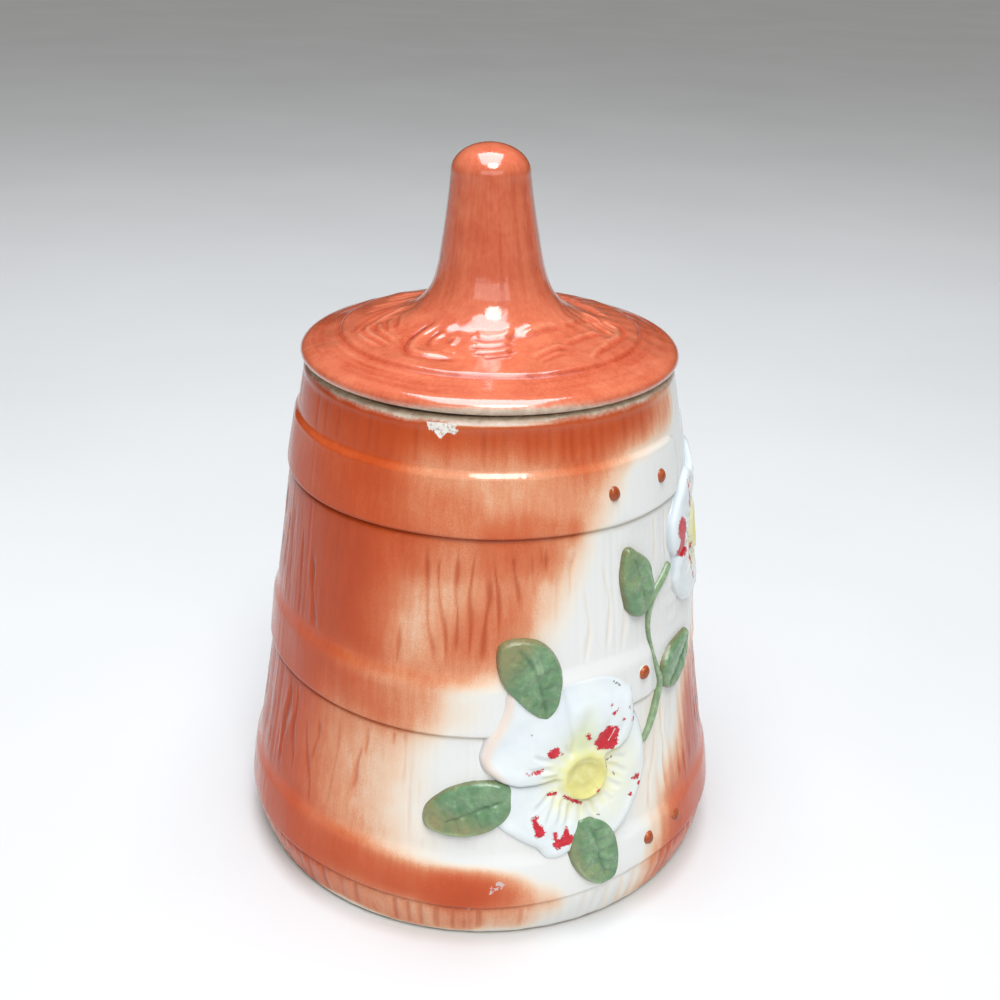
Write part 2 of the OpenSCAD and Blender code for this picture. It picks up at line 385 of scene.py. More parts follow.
# carved grooves of the staves: (az, z) points, half width and depth in mm
GROOVES = [
    # upper band
    ([(-58.5, 140), (-58.2, 130), (-57.8, 118), (-57, 106)], 0.8, 0.3),
    ([(-52, 134), (-51.5, 124), (-50.5, 117), (-49.2, 110), (-48.5, 106)], 1.1, 0.5),
    ([(-21.3, 121), (-21.3, 106)], 0.7, 0.3),
    ([(-14.8, 151), (-14.2, 131), (-13.8, 123.6), (-13.2, 119), (-12.4, 114.5), (-11.8, 109)], 0.7, 0.36),
    ([(-10.8, 148), (-11.8, 143), (-11.3, 132.7), (-10.5, 127.3), (-9.5, 122.3), (-9.1, 116.4), (-9, 109)], 0.7, 0.4),
    ([(-6.8, 150), (-7.1, 141.8), (-7.3, 134.5), (-6.6, 128.2), (-6.6, 121.4), (-6.8, 112)], 0.7, 0.42),
    ([(-2.4, 149.5), (-3.1, 144.5), (-3.6, 138), (-3.8, 132.7), (-3.4, 127.3), (-3.2, 121.4), (-3.4, 111)], 0.7, 0.42),
    ([(2.1, 148), (2.9, 141.8), (3.7, 134.5), (3.9, 128), (3.7, 118)], 0.65, 0.4),
    ([(0.8, 141), (1.3, 134.5), (0.8, 130), (0.3, 124.5), (0, 114.5), (-0.1, 110)], 0.9, 0.42),
    ([(7, 148.5), (7.7, 140.5), (8.4, 137), (9.1, 131)], 0.7, 0.45),
    ([(15.7, 150), (15.7, 142)], 0.7, 0.5),
    ([(14.3, 151.5), (14.8, 143.5)], 0.5, 0.25),
    ([(25, 148.5), (23.2, 145.5), (22.5, 140), (22.3, 132)], 0.8, 0.34),
    ([(26.6, 132), (27, 125.5), (27.7, 119), (27, 113), (26.1, 106.5)], 0.8, 0.36),
    ([(32, 141), (33.2, 132.7), (34.1, 125.5), (33.6, 119), (32.7, 112.3), (31.8, 108)], 0.8, 0.34),
    ([(38.6, 147), (38.9, 121.4), (38.4, 113), (36.8, 107.5)], 0.8, 0.3),
    ([(51.6, 151.5), (51.6, 133)], 0.8, 0.34),
    ([(57.7, 151.5), (56.8, 142), (58, 132)], 0.8, 0.34),
    ([(51, 110.5), (51, 105)], 0.7, 0.3),
    ([(11.9, 149), (12.1, 140), (12.6, 133)], 0.6, 0.2),
    ([(18.9, 141), (18.6, 130), (18.2, 122)], 0.8, 0.18),
    # lower band
    ([(-58, 79), (-58, 68), (-58.8, 61), (-59, 53), (-58.8, 47.5), (-58.5, 42)], 1.5, 0.55),
    ([(-54, 79), (-54, 69), (-54.7, 63), (-54.1, 58), (-53, 53), (-52.3, 45)], 0.9, 0.4),
    ([(-49, 70), (-48.5, 64.5), (-47.4, 57.5), (-46.2, 51.4), (-45, 45.6), (-44.7, 37)], 0.8, 0.36),
    ([(-44.4, 74), (-43.8, 66.8), (-44.7, 61.4), (-45.3, 56)], 0.8, 0.3),
    ([(-28.5, 80), (-28.5, 71), (-30, 68), (-30.9, 62), (-30.9, 56.8), (-32.4, 52)], 0.9, 0.42),
    ([(-21.2, 81), (-21.2, 75)], 0.7, 0.35),
    ([(-18.5, 84), (-18.3, 72), (-18.6, 60)], 0.55, 0.22),
    ([(-16.2, 72), (-16.6, 56), (-16.2, 40)], 0.6, 0.24),
    ([(-14.4, 64), (-14.2, 54)], 0.5, 0.18),
    ([(-22, 45), (-22.2, 39)], 0.5, 0.2),
    ([(-13.2, 42), (-13.1, 37)], 0.5, 0.2),
    ([(-37, 76), (-37.4, 62), (-38.2, 48), (-38.6, 40)], 0.7, 0.16),
    ([(44.1, 66.5), (44.1, 58)], 0.7, 0.35),
    ([(45.3, 55), (44.7, 51), (44.1, 46.7), (43.8, 40)], 0.7, 0.35),
    ([(48.8, 71), (47.9, 64.4), (47, 58.9), (45.9, 55.5), (45, 51)], 0.7, 0.35),
    ([(51.6, 80), (51.6, 73), (51.5, 65), (51.9, 60), (51.5, 54.4), (51.5, 48.9), (51.3, 41)], 0.9, 0.5),
    ([(56.6, 78), (56.2, 64)], 0.7, 0.3),
    ([(58.2, 57.5), (57.9, 41)], 0.7, 0.35),
    ([(60.9, 52), (60.9, 41)], 0.7, 0.3),
    ([(65, 56.5), (65, 41)], 0.8, 0.32),
]
# low ridges between them
RIDGES = [
    ([(-20, 150), (-20, 128), (-20, 106)], 0.9, 0.16),
    ([(11, 131), (11.2, 125), (11, 119)], 0.9, 0.25),
    ([(64.4, 74), (64.4, 67)], 1.0, 0.25),
    ([(-17.2, 147), (-17.6, 130), (-17.2, 110)], 1.4, 0.12),
    ([(5.6, 147), (6.0, 133), (5.6, 121)], 1.1, 0.16),
    ([(-5.0, 146), (-5.3, 132), (-5.0, 114)], 0.9, 0.15),
    ([(-1.2, 146), (-1.2, 130), (-1.6, 112)], 0.9, 0.15),
    # soft white folds between the stem and the upper blossom
    ([(52, 124), (57, 121), (62, 123), (68, 121)], 1.8, 0.4),
    ([(53, 116), (58, 114.5), (64, 116), (69, 113)], 1.6, 0.35),
    ([(54, 108), (60, 107), (66, 109)], 1.5, 0.3),
]

# the sides that face away: the same carving, drawn by a rule
def far_side_grain():
    g = np.random.default_rng(7)
    out = []
    az = 74.0
    while az < 296:
        for z0, z1 in ((40, 80), (109, 151)):
            if 74 < az < 100 and z0 > 100:
                continue
            lean = g.uniform(-1.2, 1.2)
            top, bot = z1 - g.uniform(0, 14), z0 + g.uniform(0, 14)
            n = 5
            zs = np.linspace(top, bot, n)
            pts = [(az + lean * k / n + g.uniform(-0.5, 0.5), z) for k, z in enumerate(zs)]
            out.append((pts, g.uniform(0.6, 1.1), g.uniform(0.2, 0.45)))
        az += g.uniform(3.6, 7.5)
    # arched growth rings on two far staves
    for c, z0, z1 in ((160, 42, 76), (205, 110, 148), (252, 44, 78), (128, 112, 146)):
        for k in range(3):
            w = 2.2 + 2.4 * k
            top = z1 - 5 * (2 - k)
            pts = [(c - w * math.sin(t), z0 + (top - z0) * math.cos(t * 0.96))
                   for t in np.linspace(-math.pi / 2, math.pi / 2, 9)]
            out.append((pts, 0.8, 0.34))
    return out


# vertical brush and tool marks of the collar, az and depth
COLLAR = [(-58, .3), (-53, .25), (-47, .3), (-40, .15), (-35, .3), (-32, .25), (-27, .15), (-20, .3),
          (-11, .15), (-1, .3), (1.5, .2), (4.5, .2), (11, .25), (13.5, .2), (17, .2), (21, .3), (23.5, .35),
          (27, .15), (30, .25), (33, .2), (37, .15), (41.5, .3), (45, .15), (49, .25), (54, .2), (59, .2)]


def wall_arc(az, z_ref):
    return np.radians(az) * float(wall_r(z_ref))


def carve(az, z):
    """Depth of the carving in mm (+ is out of the wall) and how much of a groove it is (0..1)."""
    out = np.zeros(az.shape)
    cav = np.zeros(az.shape)
    wobble = Waves(3, 10, (20, 90), (0.02, 0.12))(az, z) * 0.15
    for sign, group in ((-1, GROOVES + far_side_grain()), (1, RIDGES)):
        for pts, w, d in group:
            pts = np.asarray(pts, float)
            ca, cz = pts[:, 0].mean(), pts[:, 1].mean()
            da = (az - ca + 180) % 360 - 180
            span = np.ptp(pts[:, 0]) / 2 + np.degrees(5 * w / float(wall_r(cz)))
            m = (np.abs(da) < span + 1) & (z > pts[:, 1].min() - 5) & (z < pts[:, 1].max() + 5)
            if not m.any():
                continue
            line = smooth_line(np.stack([wall_arc(pts[:, 0] - ca, cz), pts[:, 1]], 1), 4)
            x = wall_arc(da[m], cz) + wobble[m]
            dist, along, side = to_line(x, z[m], line)
            end = sstep(along, 0.0, 0.16) * (1 - sstep(along, 0.84, 1.0)) * 0.85 + 0.15
            end = np.where((along <= 0) | (along >= 1), 0.15, end)
            wide = w * (0.8 + 0.4 * np.sin(along * 9 + ca))
            v = np.exp(-((dist / wide) ** 2)) * end
            # a soft lip beside each cut
            lip = 0.28 * np.exp(-(((dist - 2.1 * wide) / wide) ** 2)) * end
            out[m] += sign * d * v - sign * d * lip
            if sign < 0:
                cav[m] = np.maximum(cav[m], v * min(1.0, d / 0.4))
    return out, cav


def body_relief(az, z):
    """Height of the outer wall above its plain profile, and the groove amount."""
    az = (az + 180) % 360 - 180
    l1, l2, l3 = (hoop_low(t, az) for t in (HOOP1, HOOP2, HOOP3))
    carved, cav = carve(az, z)
    in_band = (sstep(z, 37, 40) * (1 - sstep(z, l2 - 3, l2 - 1.2))
               + sstep(z, 105, 108) * (1 - sstep(z, l1 - 3, l1 - 1.2)))
    fine = Waves(11, 26, (60, 200), (0.0, 0.05))(az, z)
    broad = Waves(12, 14, (14, 50), (0.0, 0.05))(az, z)
    calm = 1 - 0.6 * sstep(az, -50, -44) * (1 - sstep(az, -26, -22))
    h = carved * in_band + (0.035 * fine + 0.07 * broad) * in_band * calm
    # strap 1 ends at its right with a rounded end laid over its other end
    end = 63.0 + 4.0 * np.sqrt(np.clip(1 - ((z - 165.2) / 10.4) ** 2, 0, 1))
    over = 1 - sstep(az, end - 0.5, end + 0.5)
    under = 0.4 + 0.6 * sstep(az, 80, 112)
    a1 = np.where(az > 40, over + (1 - over) * under, 1.0)
    a2 = 1 - 0.75 * sstep(az, 46, 50) * (1 - sstep(az, 70, 100))
    h1 = hoop(z, l1, 174.3, 176.9, 1.25, 0.12) * a1
    h2 = hoop(z, l2, 100.0, 106.4, 1.15, 0.05) * a2
    h3 = hoop(z, l3, 32.8, 38.6, 1.25, 0.05)
    h = h + h1 + h2 + h3
    # straps are a little uneven, as modelled by hand
    on = (sstep(z, l1, l1 + 2) * (1 - sstep(z, 174, 177)) + sstep(z, l2, l2 + 2) * (1 - sstep(z, 101, 106))
          + sstep(z, l3, l3 + 2) * (1 - sstep(z, 33, 38)))
    h = h + on * (0.07 * Waves(21, 12, (6, 30), (0.02, 0.14))(az, z) + 0.02 * fine)
    # foot: short leaning flutes under the lowest strap
    foot = sstep(z, 1.5, 4) * (1 - sstep(z, l3 - 2.6, l3 - 1))
    flute = Waves(31, 16, (70, 150), (-0.12, 0.06))(az, z)
    h = h + foot * 0.13 * flute
    cav = cav * in_band
    cav = np.maximum(cav, foot * sstep(-flute, 0.5, 1.8) * 0.8)
    # collar: upright tool marks
    col = sstep(z, 177.5, 179.5) * (1 - sstep(z, 188, 192))
    for c, d in COLLAR:
        v = bell(az, c + 0.02 * (z - 184) * math.sin(c), 0.8) * col
        h = h - d * 0.6 * v
        cav = np.maximum(cav, v * d * 1.5)
    far = Waves(41, 14, (40, 110), (0.0, 0.05))(az, z)
    hid = sstep(np.abs(az), 60, 66)
    h = h - 0.1 * col * hid * sstep(far, 0.6, 2.0)
    cav = np.maximum(cav, col * hid * sstep(far, 0.6, 2.0) * 0.8)
    # slip-cast unevenness of the whole pot
    h = h + 0.18 * Waves(51, 10, (2, 8), (0.01, 0.05))(az, z) * sstep(z, 2, 14) * (1 - sstep(z, 184, 192))
    for low, a in ((l1, a1), (l2, a2), (l3, 1.0)):
        cav = np.maximum(cav, bell(z, low - 0.35, 0.75) * a)
    return h, cav


# The airbrush work. A coat covers everything on one side of a soft edge; a pass follows a line.
# Lines are (az, z) points, widths are mm on the wall, the last number is how full the colour is.
COATS = [
    # the whole left and back, its edge leaning to the left lower down
    ([(-24, 215), (-24, 172), (-25, 148), (-29, 128), (-34, 110), (-39, 96), (-45, 80), (-46, 58), (-44, 38), (-40, 14), (-40, -20)],
     11, 0.97, (-9, 300)),
    # a thin haze fading into the white of the lower half
    ([(-16, 215), (-16, 104), (-19, 88), (-26, 76), (-25, 50), (-20, 36), (-16, -20)], 24, 0.56, (-9, 100)),
    # peach over the upper staves, its right edge slanting down to the left
    ([(30, 215), (27, 150), (22, 138), (15, 123), (4, 104), (-10, 90), (-30, -20)], 13, 0.37, (101, 154)),
    # peach along the first strap and the collar
    ([(35, 215), (35, 174), (31, 160), (30, -20)], 12, 0.44, (154, 300)),
]
RIGHT_COAT = [(40, -20), (42, 14), (47, 24), (52, 34), (57, 48), (62, 62), (70, 78), (84, 92), (106, 102), (117, 112), (117, 215)]
PASSES = [
    # path, half width, softness, amount
    ([(-60, 190), (0, 190), (30, 189.5), (50, 190.5)], 2.2, 13, 0.66),         # under the lid
    ([(28, 184), (46, 185), (60, 188)], 1.0, 15, 0.5),
    ([(-30, 157), (0, 156.5), (24, 157)], 1.0, 7, 0.3),                        # low on the first strap
    ([(-30, 148), (-6, 147), (8, 147), (16, 146)], 3, 9, 0.36),                # top of the upper staves
    ([(4, 146), (3, 132), (0, 120)], 5, 13, 0.4),
    ([(-24, 150), (-26, 130), (-31, 112)], 3, 12, 0.6),                        # the deep edge of the left coat
    ([(-21, 148), (-21, 130), (-24, 110)], 1, 11, 0.24),
    ([(-30, 168), (-14, 166), (-4, 164)], 1.0, 10, 0.28),                      # left part of the first strap
    ([(-36, 101), (-16, 102), (-8, 103)], 1.0, 10, 0.2),                       # top of the second strap
    ([(-34, 92), (-20, 92), (-13, 93)], 1, 14, 0.19),
    ([(-15, 93), (-3, 93)], 1, 14, 0.1),
    ([(-70, 24), (-30, 26), (-14, 25.5), (-4, 23.5)], 3, 9, 0.84),             # third strap, back and forth
    ([(-6, 23), (-1, 22.5)], 1.5, 11, 0.6),                                    # and thinning out to the right
    ([(-2, 22.4), (4, 20.6)], 1.0, 13, 0.42),
    ([(5, 20), (14, 16)], 1.0, 13, 0.24),
    ([(-70, 8), (-20, 8), (-4, 8)], 4, 8, 0.42),                               # foot
    ([(-4, 9), (8, 8)], 1, 9, 0.35),
    ([(-36, 93), (-25, 88)], 1.0, 12, 0.25),                                   # a thicker spot on the second strap
    ([(48, 78), (46, 60), (43, 40)], 2, 10, 0.07),                             # haze right of the blossom
]


def airbrush(az, z):
    """Amount of orange (0 bare white, 1 full) and of the deeper red-brown tone, which down the left side is also
    painted shade.
    """
    az = (az + 180) % 360 - 180
    l1, l2, l3 = (hoop_low(t, az) for t in (HOOP1, HOOP2, HOOP3))
    arc = lambda v: np.radians(np.asarray(v, float)) * 80.0
    line = lambda pts: [(float(arc(p[0])), p[1]) for p in pts]
    # the hand does not move quite evenly
    x = arc(az) + 1.8 * Waves(91, 10, (3, 14), (0.02, 0.09))(az, z)
    y = z + 0.9 * Waves(92, 9, (4, 16), (0.0, 0.05))(az, z)
    mix = lambda a, b, m: a + (b - a) * m
    left = np.ones(az.shape)                       # what is still bare
    for pts, soft, full, (lo, hi) in COATS:
        d, _, side = to_line(x, y, line(pts))
        inz = sstep(z, lo - 3, lo + 3) * (1 - sstep(z, hi - 3, hi + 3))
        # the lines run downward, so their right-hand side is the jar's left
        left *= 1 - full * inz * sstep(-d * side, -soft, soft)
    d, _, side = to_line(x, y, line(RIGHT_COAT))
    left *= 1 - 0.96 * sstep(-d * side + 1.5 * Waves(93, 12, (30, 110), (0.0, 0.03))(az, z), -14, 14)
    for pts, half, soft, full in PASSES:
        d, _, _ = to_line(x, y, line(pts))
        left *= 1 - full * (1 - sstep(d, half, half + soft))
    a = mix(1 - left, 0.05, 1 - sstep(y, 0.8, 3.6))
    # painted light: the orange is made thinner on the turned-in foot, so it reads lighter where it curves away from the
    # light
    a = a * (1 - 0.24 * (1 - sstep(y, 11, 17)))
    # the orange is left off a thin strip under the mouth at the front: partly bare white glaze, partly a painted
    # highlight on the rolled edge
    a = a * (1 - 0.9 * sstep(az, -14, -10) * (1 - sstep(az, 8, 24)) * sstep(z, 191.2, 192.2))
    t = np.zeros(az.shape)
    left = 1 - sstep(az, -36, -24)
    far = sstep(az, 112, 128)
    t = mix(t, 0.45, sstep(z, 180, 187))
    # painted shade: a deeper tone down the left of both staved bands
    t = mix(t, 0.55, left * sstep(z, 104, 112) * (1 - sstep(z, l1 - 3, l1 + 1)))
    t = mix(t, 0.6, (1 - sstep(az, -58, -50)) * sstep(z, 36, 44) * (1 - sstep(z, l2 - 3, l2)))
    t = mix(t, 0.35, bell(az, -8, 34) * sstep(z, l3 - 1, l3 + 2) * (1 - sstep(z, 22, 31)))
    t = mix(t, 0.75, sstep(az, 56, 66) * sstep(z, 32, 44) * (1 - sstep(z, 78, 90)))
    t = mix(t, 0.45, far * sstep(z, 104, 112) * (1 - sstep(z, l1 - 3, l1 + 1)))
    return np.clip(a, 0.02, 1.0), t


def chip(az, z):
    """How far inside the chipped patch of glaze under the rim (mm)."""
    x = np.radians(az + 12.8) * 68.0
    top = 193.4 + 0.4 * np.sin(az * 1.3)
    low = 190.2 - 3.2 * bell(az, -12.9, 1.7) - 1.5 * bell(az, -9.4, 1.2) - 1.1 * bell(az, -16, 0.9)
    out = np.minimum(np.minimum(top - z, z - low), 4.6 - np.abs(x) * 0.9)
    # a scuff low at the front and two specks beside it
    u, v = np.radians(az) * 93.0, z
    for pts, w in (([(4.4, 23.0), (6.8, 25.0), (9.8, 26.6)], 0.42), ([(4.8, 25.4), (7.2, 27.2), (9.0, 27.8)], 0.3),
                   ([(-3.2, 15.2), (-2.9, 15.0)], 0.3), ([(0.2, 8.6), (0.5, 8.4)], 0.3)):
        m = (np.abs(u - pts[0][0]) < 12) & (np.abs(v - pts[0][1]) < 12)
        d, _, _ = to_line(u[m], v[m], pts)
        out[m] = np.maximum(out[m], w - d)
    return out


def jar_body(mat):
    az = np.concatenate([np.arange(-75, -62, 0.55), np.arange(-62, 62, 0.34),
                         np.arange(62, 100, 0.55), np.arange(100, 284.2, 1.35)])
    ni = len(az)
    edge = np.array([-3.2, -2.4, -1.7, -1.15, -0.75, -0.5, -0.28, -0.02, 0.24, 0.55, 1.0, 1.6, 2.4])
    zs = np.concatenate([
        [2.2, 3.4, 5, 7, 9, 11, 12.7], 17 + edge, [21.6, 23.6, 25.6, 27.6, 29.6, 31.4, 32.8, 33.9, 35, 36.1, 37.3, 38.6],
        np.arange(40.4, 78.6, 2.15), 82.8 + edge, [87.4, 89.4, 91.4, 93.4, 95.4, 97.4, 99.3, 100.8, 102, 103.2, 104.4, 105.6, 106.8],
        np.arange(108.6, 150.6, 2.1), 154.6 + edge,
        [159, 161, 163, 165, 167, 169, 171, 172.8, 173.9, 174.5, 175.0, 175.5, 176.0, 176.5, 177.0, 177.7, 178.8],
        [180.4, 182.2, 184, 185.8, 187.2, 188.6, 189.8, 190.7, 191.5, 192.2]])
    A, Z = np.meshgrid(az, zs)
    W = (A + 180) % 360 - 180
    for table, nom in ((HOOP1, 154.6), (HOOP2, 82.8), (HOOP3, 17.0)):
        k = np.cos(np.clip((Z - nom) / 14.0, -1, 1) * math.pi / 2) ** 2
        if nom == 17.0:
            k = np.where(Z < nom, np.cos(np.clip((Z - nom) / 15.5, -1, 1) * math.pi / 2) ** 2, k)
        Z = Z + (hoop_low(table, W) - nom) * k
    H, cav = body_relief(A, Z)
    # the glaze has gathered in a soft roll just under the mouth
    H = H + 0.2 * bell(Z, 190.9, 0.9)
    R = wall_r(Z) + H
    paint, tone = airbrush(A, Z)
    # the mouth is cut by hand: it dips a little at the front left
    sag = -0.75 * bell(W, -34, 30) - 0.25 * bell(W, 60, 25)
    Z = Z + sag * sstep(Z, 186, 193)
    line = curve([-180, -60, -38, -24, -10, 0, 24, 38, 60, 180], [192.6, 193.2, 193.0, 192.6, 192.9, 193.1, 193.1, 193.0, 192.8, 192.6], W) \
        + 0.14 * Waves(61, 12, (8, 40), (0, 0))(W, 0 * W)
    flat = Z - sag * sstep(Z, 186, 193)
    rimd = flat - line
    chipped = chip(W, flat)
    rimd = np.minimum(rimd, 2.0)
    gloss = np.maximum(bell(flat, 175.6, 1.8), 0.7 * sstep(flat, 188.5, 191))
    gloss = np.maximum(gloss, 0.4 * np.maximum(bell(flat, 104.0, 2.2), bell(flat, 36.5, 2.2)))
    # row by row: underside, foot, wall, rim, inside, floor
    under = [(15, 1.5), (45, 1.5), (70, 1.5), (76.6, 1.5), (77.4, 1.25), (78.4, 0.2), (79.3, 0.0),
             (88.0, 0.0), (89.0, 0.3), (89.8, 1.1)]
    rim = [(67.3, 192.9), (67.05, 193.4), (66.5, 193.8), (65.7, 194.0), (64.3, 194.0), (63.4, 193.8), (62.7, 193.2), (62.4, 192.3)]
    inner = [(float(wall_r(z)) - 5, z) for z in (184, 160, 120, 80, 40, 20)] \
        + [(87.3, 12.5), (84.0, 9.0), (80.5, 7.9), (76, 7.5), (40, 7.5), (12, 7.5)]
    VR, VZ = [], []
    P, C, T, M, K = [], [], [], [], []
    G = [0 * az] * len(under) + list(gloss) + [0 * az] * (len(rim) + len(inner))
    full = np.ones(ni)
    for r, z in under:
        wob = 0.10 * Waves(71, 8, (20, 60), (0, 0))(az, 0 * az) if z > 0.2 and r > 85 else 0.0
        VR.append(full * r + wob); VZ.append(full * z)
        P.append(0.05 * full); C.append(0 * full); T.append(0 * full)
        M.append(full * (3.0 if 77 < r < 89.5 else -3.0)); K.append(full * -9)
    for j in range(len(zs)):
        VR.append(R[j]); VZ.append(Z[j]); P.append(paint[j]); C.append(cav[j]); T.append(tone[j]); M.append(rimd[j]); K.append(chipped[j])
    for r, z in rim:
        w = W[0]
        VR.append(full * r + 0.12 * Waves(72, 8, (4, 20), (0, 0))(w, 0 * w))
        VZ.append(full * z + sag[-1] * 1.0)
        P.append(0.1 * full if r < 66 else paint[-1]); C.append(0 * full); T.append(0 * full)
        M.append(z - line[-1] if r > 66 else full * 1.5); K.append(full * -9)
    for r, z in inner:
        VR.append(full * r); VZ.append(full * z)
        P.append(0.03 * full); C.append(0 * full); T.append(0 * full); M.append(full * -4.0); K.append(full * -9)
    VR, VZ = np.array(VR), np.array(VZ)
    t = np.radians(az)
    V = np.stack([VR * np.sin(t), -VR * np.cos(t), VZ], -1).reshape(-1, 3)
    nj = len(VR)
    V = np.vstack([V, [[0, 0, 1.5]], [[0, 0, 7.5]]])
    join = lambda rows, end: np.concatenate([np.array(rows).ravel(), end])
    return make("jar_body_glazed", V, shell_faces(nj, ni, nj * ni, nj * ni + 1),
                {"paint": join(P, [0.05, 0.03]), "cav": join(C, [0, 0]), "tone": join(T, [0, 0]),
                 "rim": join(M, [-3, -4]), "chip": join(K, [-9, -9]), "gloss": join(G, [0, 0])},
                mat, "jar", ["jar_body"])


jar_body(body_glaze())


# ---------------------------------------------------------------- lid
SEAT = 194.0


def lid_glaze():
    """Orange gloss glaze brushed over the lid, thin on its ridges, bare clay under its edge."""
    p = Paint("lid_glaze", coat=0.5)
    cav, rim, crest = p.attr("cav"), p.attr("rim"), p.attr("crest")
    cloud = p.noise(45, 4, 0.6)
    blot = p.noise(160, 4, 0.6, warp=0.6)
    brush = p.noise(900, 3, 0.6, stretch=(1, 1, 0.10))
    a = p.math("ADD", p.fit(cloud, 0.25, 0.75, 0.34, 0.56), p.fit(blot, 0.3, 0.7, -0.08, 0.08))
    a = p.math("ADD", a, p.fit(brush, 0.3, 0.7, -0.07, 0.07))
    a = p.math("SUBTRACT", a, p.math("MULTIPLY", crest, 0.22))
    a = p.math("ADD", a, p.math("MULTIPLY", cav, 0.42))
    col = p.ramp(a, [(0.0, lin(226, 146, 115)), (0.3, lin(214, 119, 87)), (0.55, lin(202, 101, 71)),
                     (0.8, lin(184, 79, 50)), (1.0, lin(144, 50, 31))])
    edge = p.math("ADD", rim, p.fit(p.noise(420, 4, 0.7), 0.3, 0.7, -0.45, 0.45))
    bare = p.fit(edge, -0.7, 0.9)
    thin = p.fit(edge, -2.4, 0.2, 0.0, 0.5)
    col = p.mix(thin, col, lin(226, 166, 140))
    clay = p.ramp(p.noise(320, 5, 0.6), [(0.3, lin(184, 160, 136)), (0.55, lin(208, 187, 164)),
                                        (0.8, lin(226, 210, 190))])
    col = p.mix(bare, col, clay)
    rough = p.math("ADD", p.fit(blot, 0.3, 0.7, 0.10, 0.2), p.math("MULTIPLY", bare, 0.5))
    rough = p.math("ADD", rough, p.math("MULTIPLY", cav, 0.25))
    p.put(p.b.inputs["Coat Weight"], p.fit(cav, 0.2, 0.8, 0.9, 0.0))
    nrm = p.bump(brush, 0.06, 0.0005)
    nrm = p.bump(blot, 0.10, 0.0008, nrm)
    nrm = p.bump(p.noise(2400, 2, 0.6), 0.03, 0.0001, nrm)
    return p.done(col, rough, nrm)


# brushed swirls modelled on the lid's disc, plan view in mm (x right, -y to the front)
SWIRLS = [
    # fan at the left
    ([(-47.3, -8), (-45.9, -17.3), (-41.8, -25.5), (-36.4, -31)], 1.3, 0.42),
    ([(-44.1, -7), (-42.7, -17.3), (-38.2, -24.5), (-33.6, -31)], 1.0, 0.38),
    ([(-40, -7), (-38.6, -15.5), (-35, -22.7), (-31.8, -28.5)], 1.0, 0.36),
    ([(-36.4, -6), (-35.5, -13.6), (-34.5, -21)], 0.9, 0.3),
    ([(-32.0, -5), (-31.6, -12), (-31.4, -18)], 0.9, 0.26),
    ([(-30, -24.5), (-27.3, -31)], 0.9, 0.28),
    # big C
    ([(-15.5, -20.9), (-20.5, -23.6), (-24.5, -27.3), (-26.4, -32.7), (-25, -37.3), (-20, -40), (-13.6, -41.8), (-8.2, -43.6)], 1.5, 0.55),
    ([(-15.5, -27.3), (-19.1, -30.9), (-19.1, -34.5)], 1.0, 0.34),
    ([(-14.5, -29.5), (-11.8, -31.8), (-13.6, -35.5)], 0.9, 0.3),
    ([(-16.5, -37.3), (-11.8, -40.9)], 0.9, 0.3),
    # crossing strokes at the front
    ([(-5.6, -29.6), (-1, -31.6), (4.5, -30), (8.0, -26.6)], 1.3, 0.5),
    ([(-6.5, -34.0), (-2, -35.6), (3, -34.6), (7.5, -31.2)], 1.2, 0.5),
    ([(-6.2, -38.4), (-1.0, -39.4), (4, -38.0), (8.4, -35.0)], 1.2, 0.48),
    ([(-3.2, -43.2), (1.8, -41.4), (7.4, -39.4)], 1.0, 0.4),
    # strokes to the right
    ([(13.6, -41.8), (17.3, -37.3), (21.8, -32.7), (26, -29.4)], 1.1, 0.42),
    ([(16.0, -43.2), (20.0, -39.0), (24.8, -34.4)], 0.9, 0.32),
    ([(9.5, -29.5), (17.3, -22.7), (24.4, -16.8)], 1.1, 0.36),
    ([(24.5, -29), (34.5, -17.3), (39.4, -13.2)], 1.0, 0.36),
    ([(31.8, -40.9), (37.3, -37.3), (42.7, -33.6)], 1.0, 0.3),
    ([(33.8, -38.3), (36.4, -30), (39.1, -25.5), (42.2, -21.4)], 1.1, 0.36),
    # oval loop at the right
    ([(37.3, -26.4), (44.5, -14.6), (45.4, -6.4), (42.7, -1.8), (38.2, -4.5), (32.7, -11.8)], 1.3, 0.42),
    ([(24.6, -16.2), (28.4, -12.0), (30.0, -7.0)], 0.9, 0.3),
]


def far_swirls():
    """The half of the disc that faces away, brushed in the same manner."""
    g = np.random.default_rng(19)
    out = []
    for k, c in enumerate(range(8, 176, 14)):
        t0 = math.radians(c + g.uniform(-3, 3))
        r0, r1 = g.uniform(29, 33), g.uniform(44, 49)
        turn = g.uniform(0.25, 0.6) * (1 if k % 3 else -1)
        for j in range(3):
            u = np.linspace(0, 1, 6)
            r = r0 + (r1 - r0) * u
            t = t0 + 0.085 * j * (1 if turn > 0 else -1) + turn * u ** 1.3
            out.append((np.stack([r * np.cos(t), r * np.sin(t)], 1).tolist(), g.uniform(0.8, 1.3), g.uniform(0.25, 0.45)))
    return out


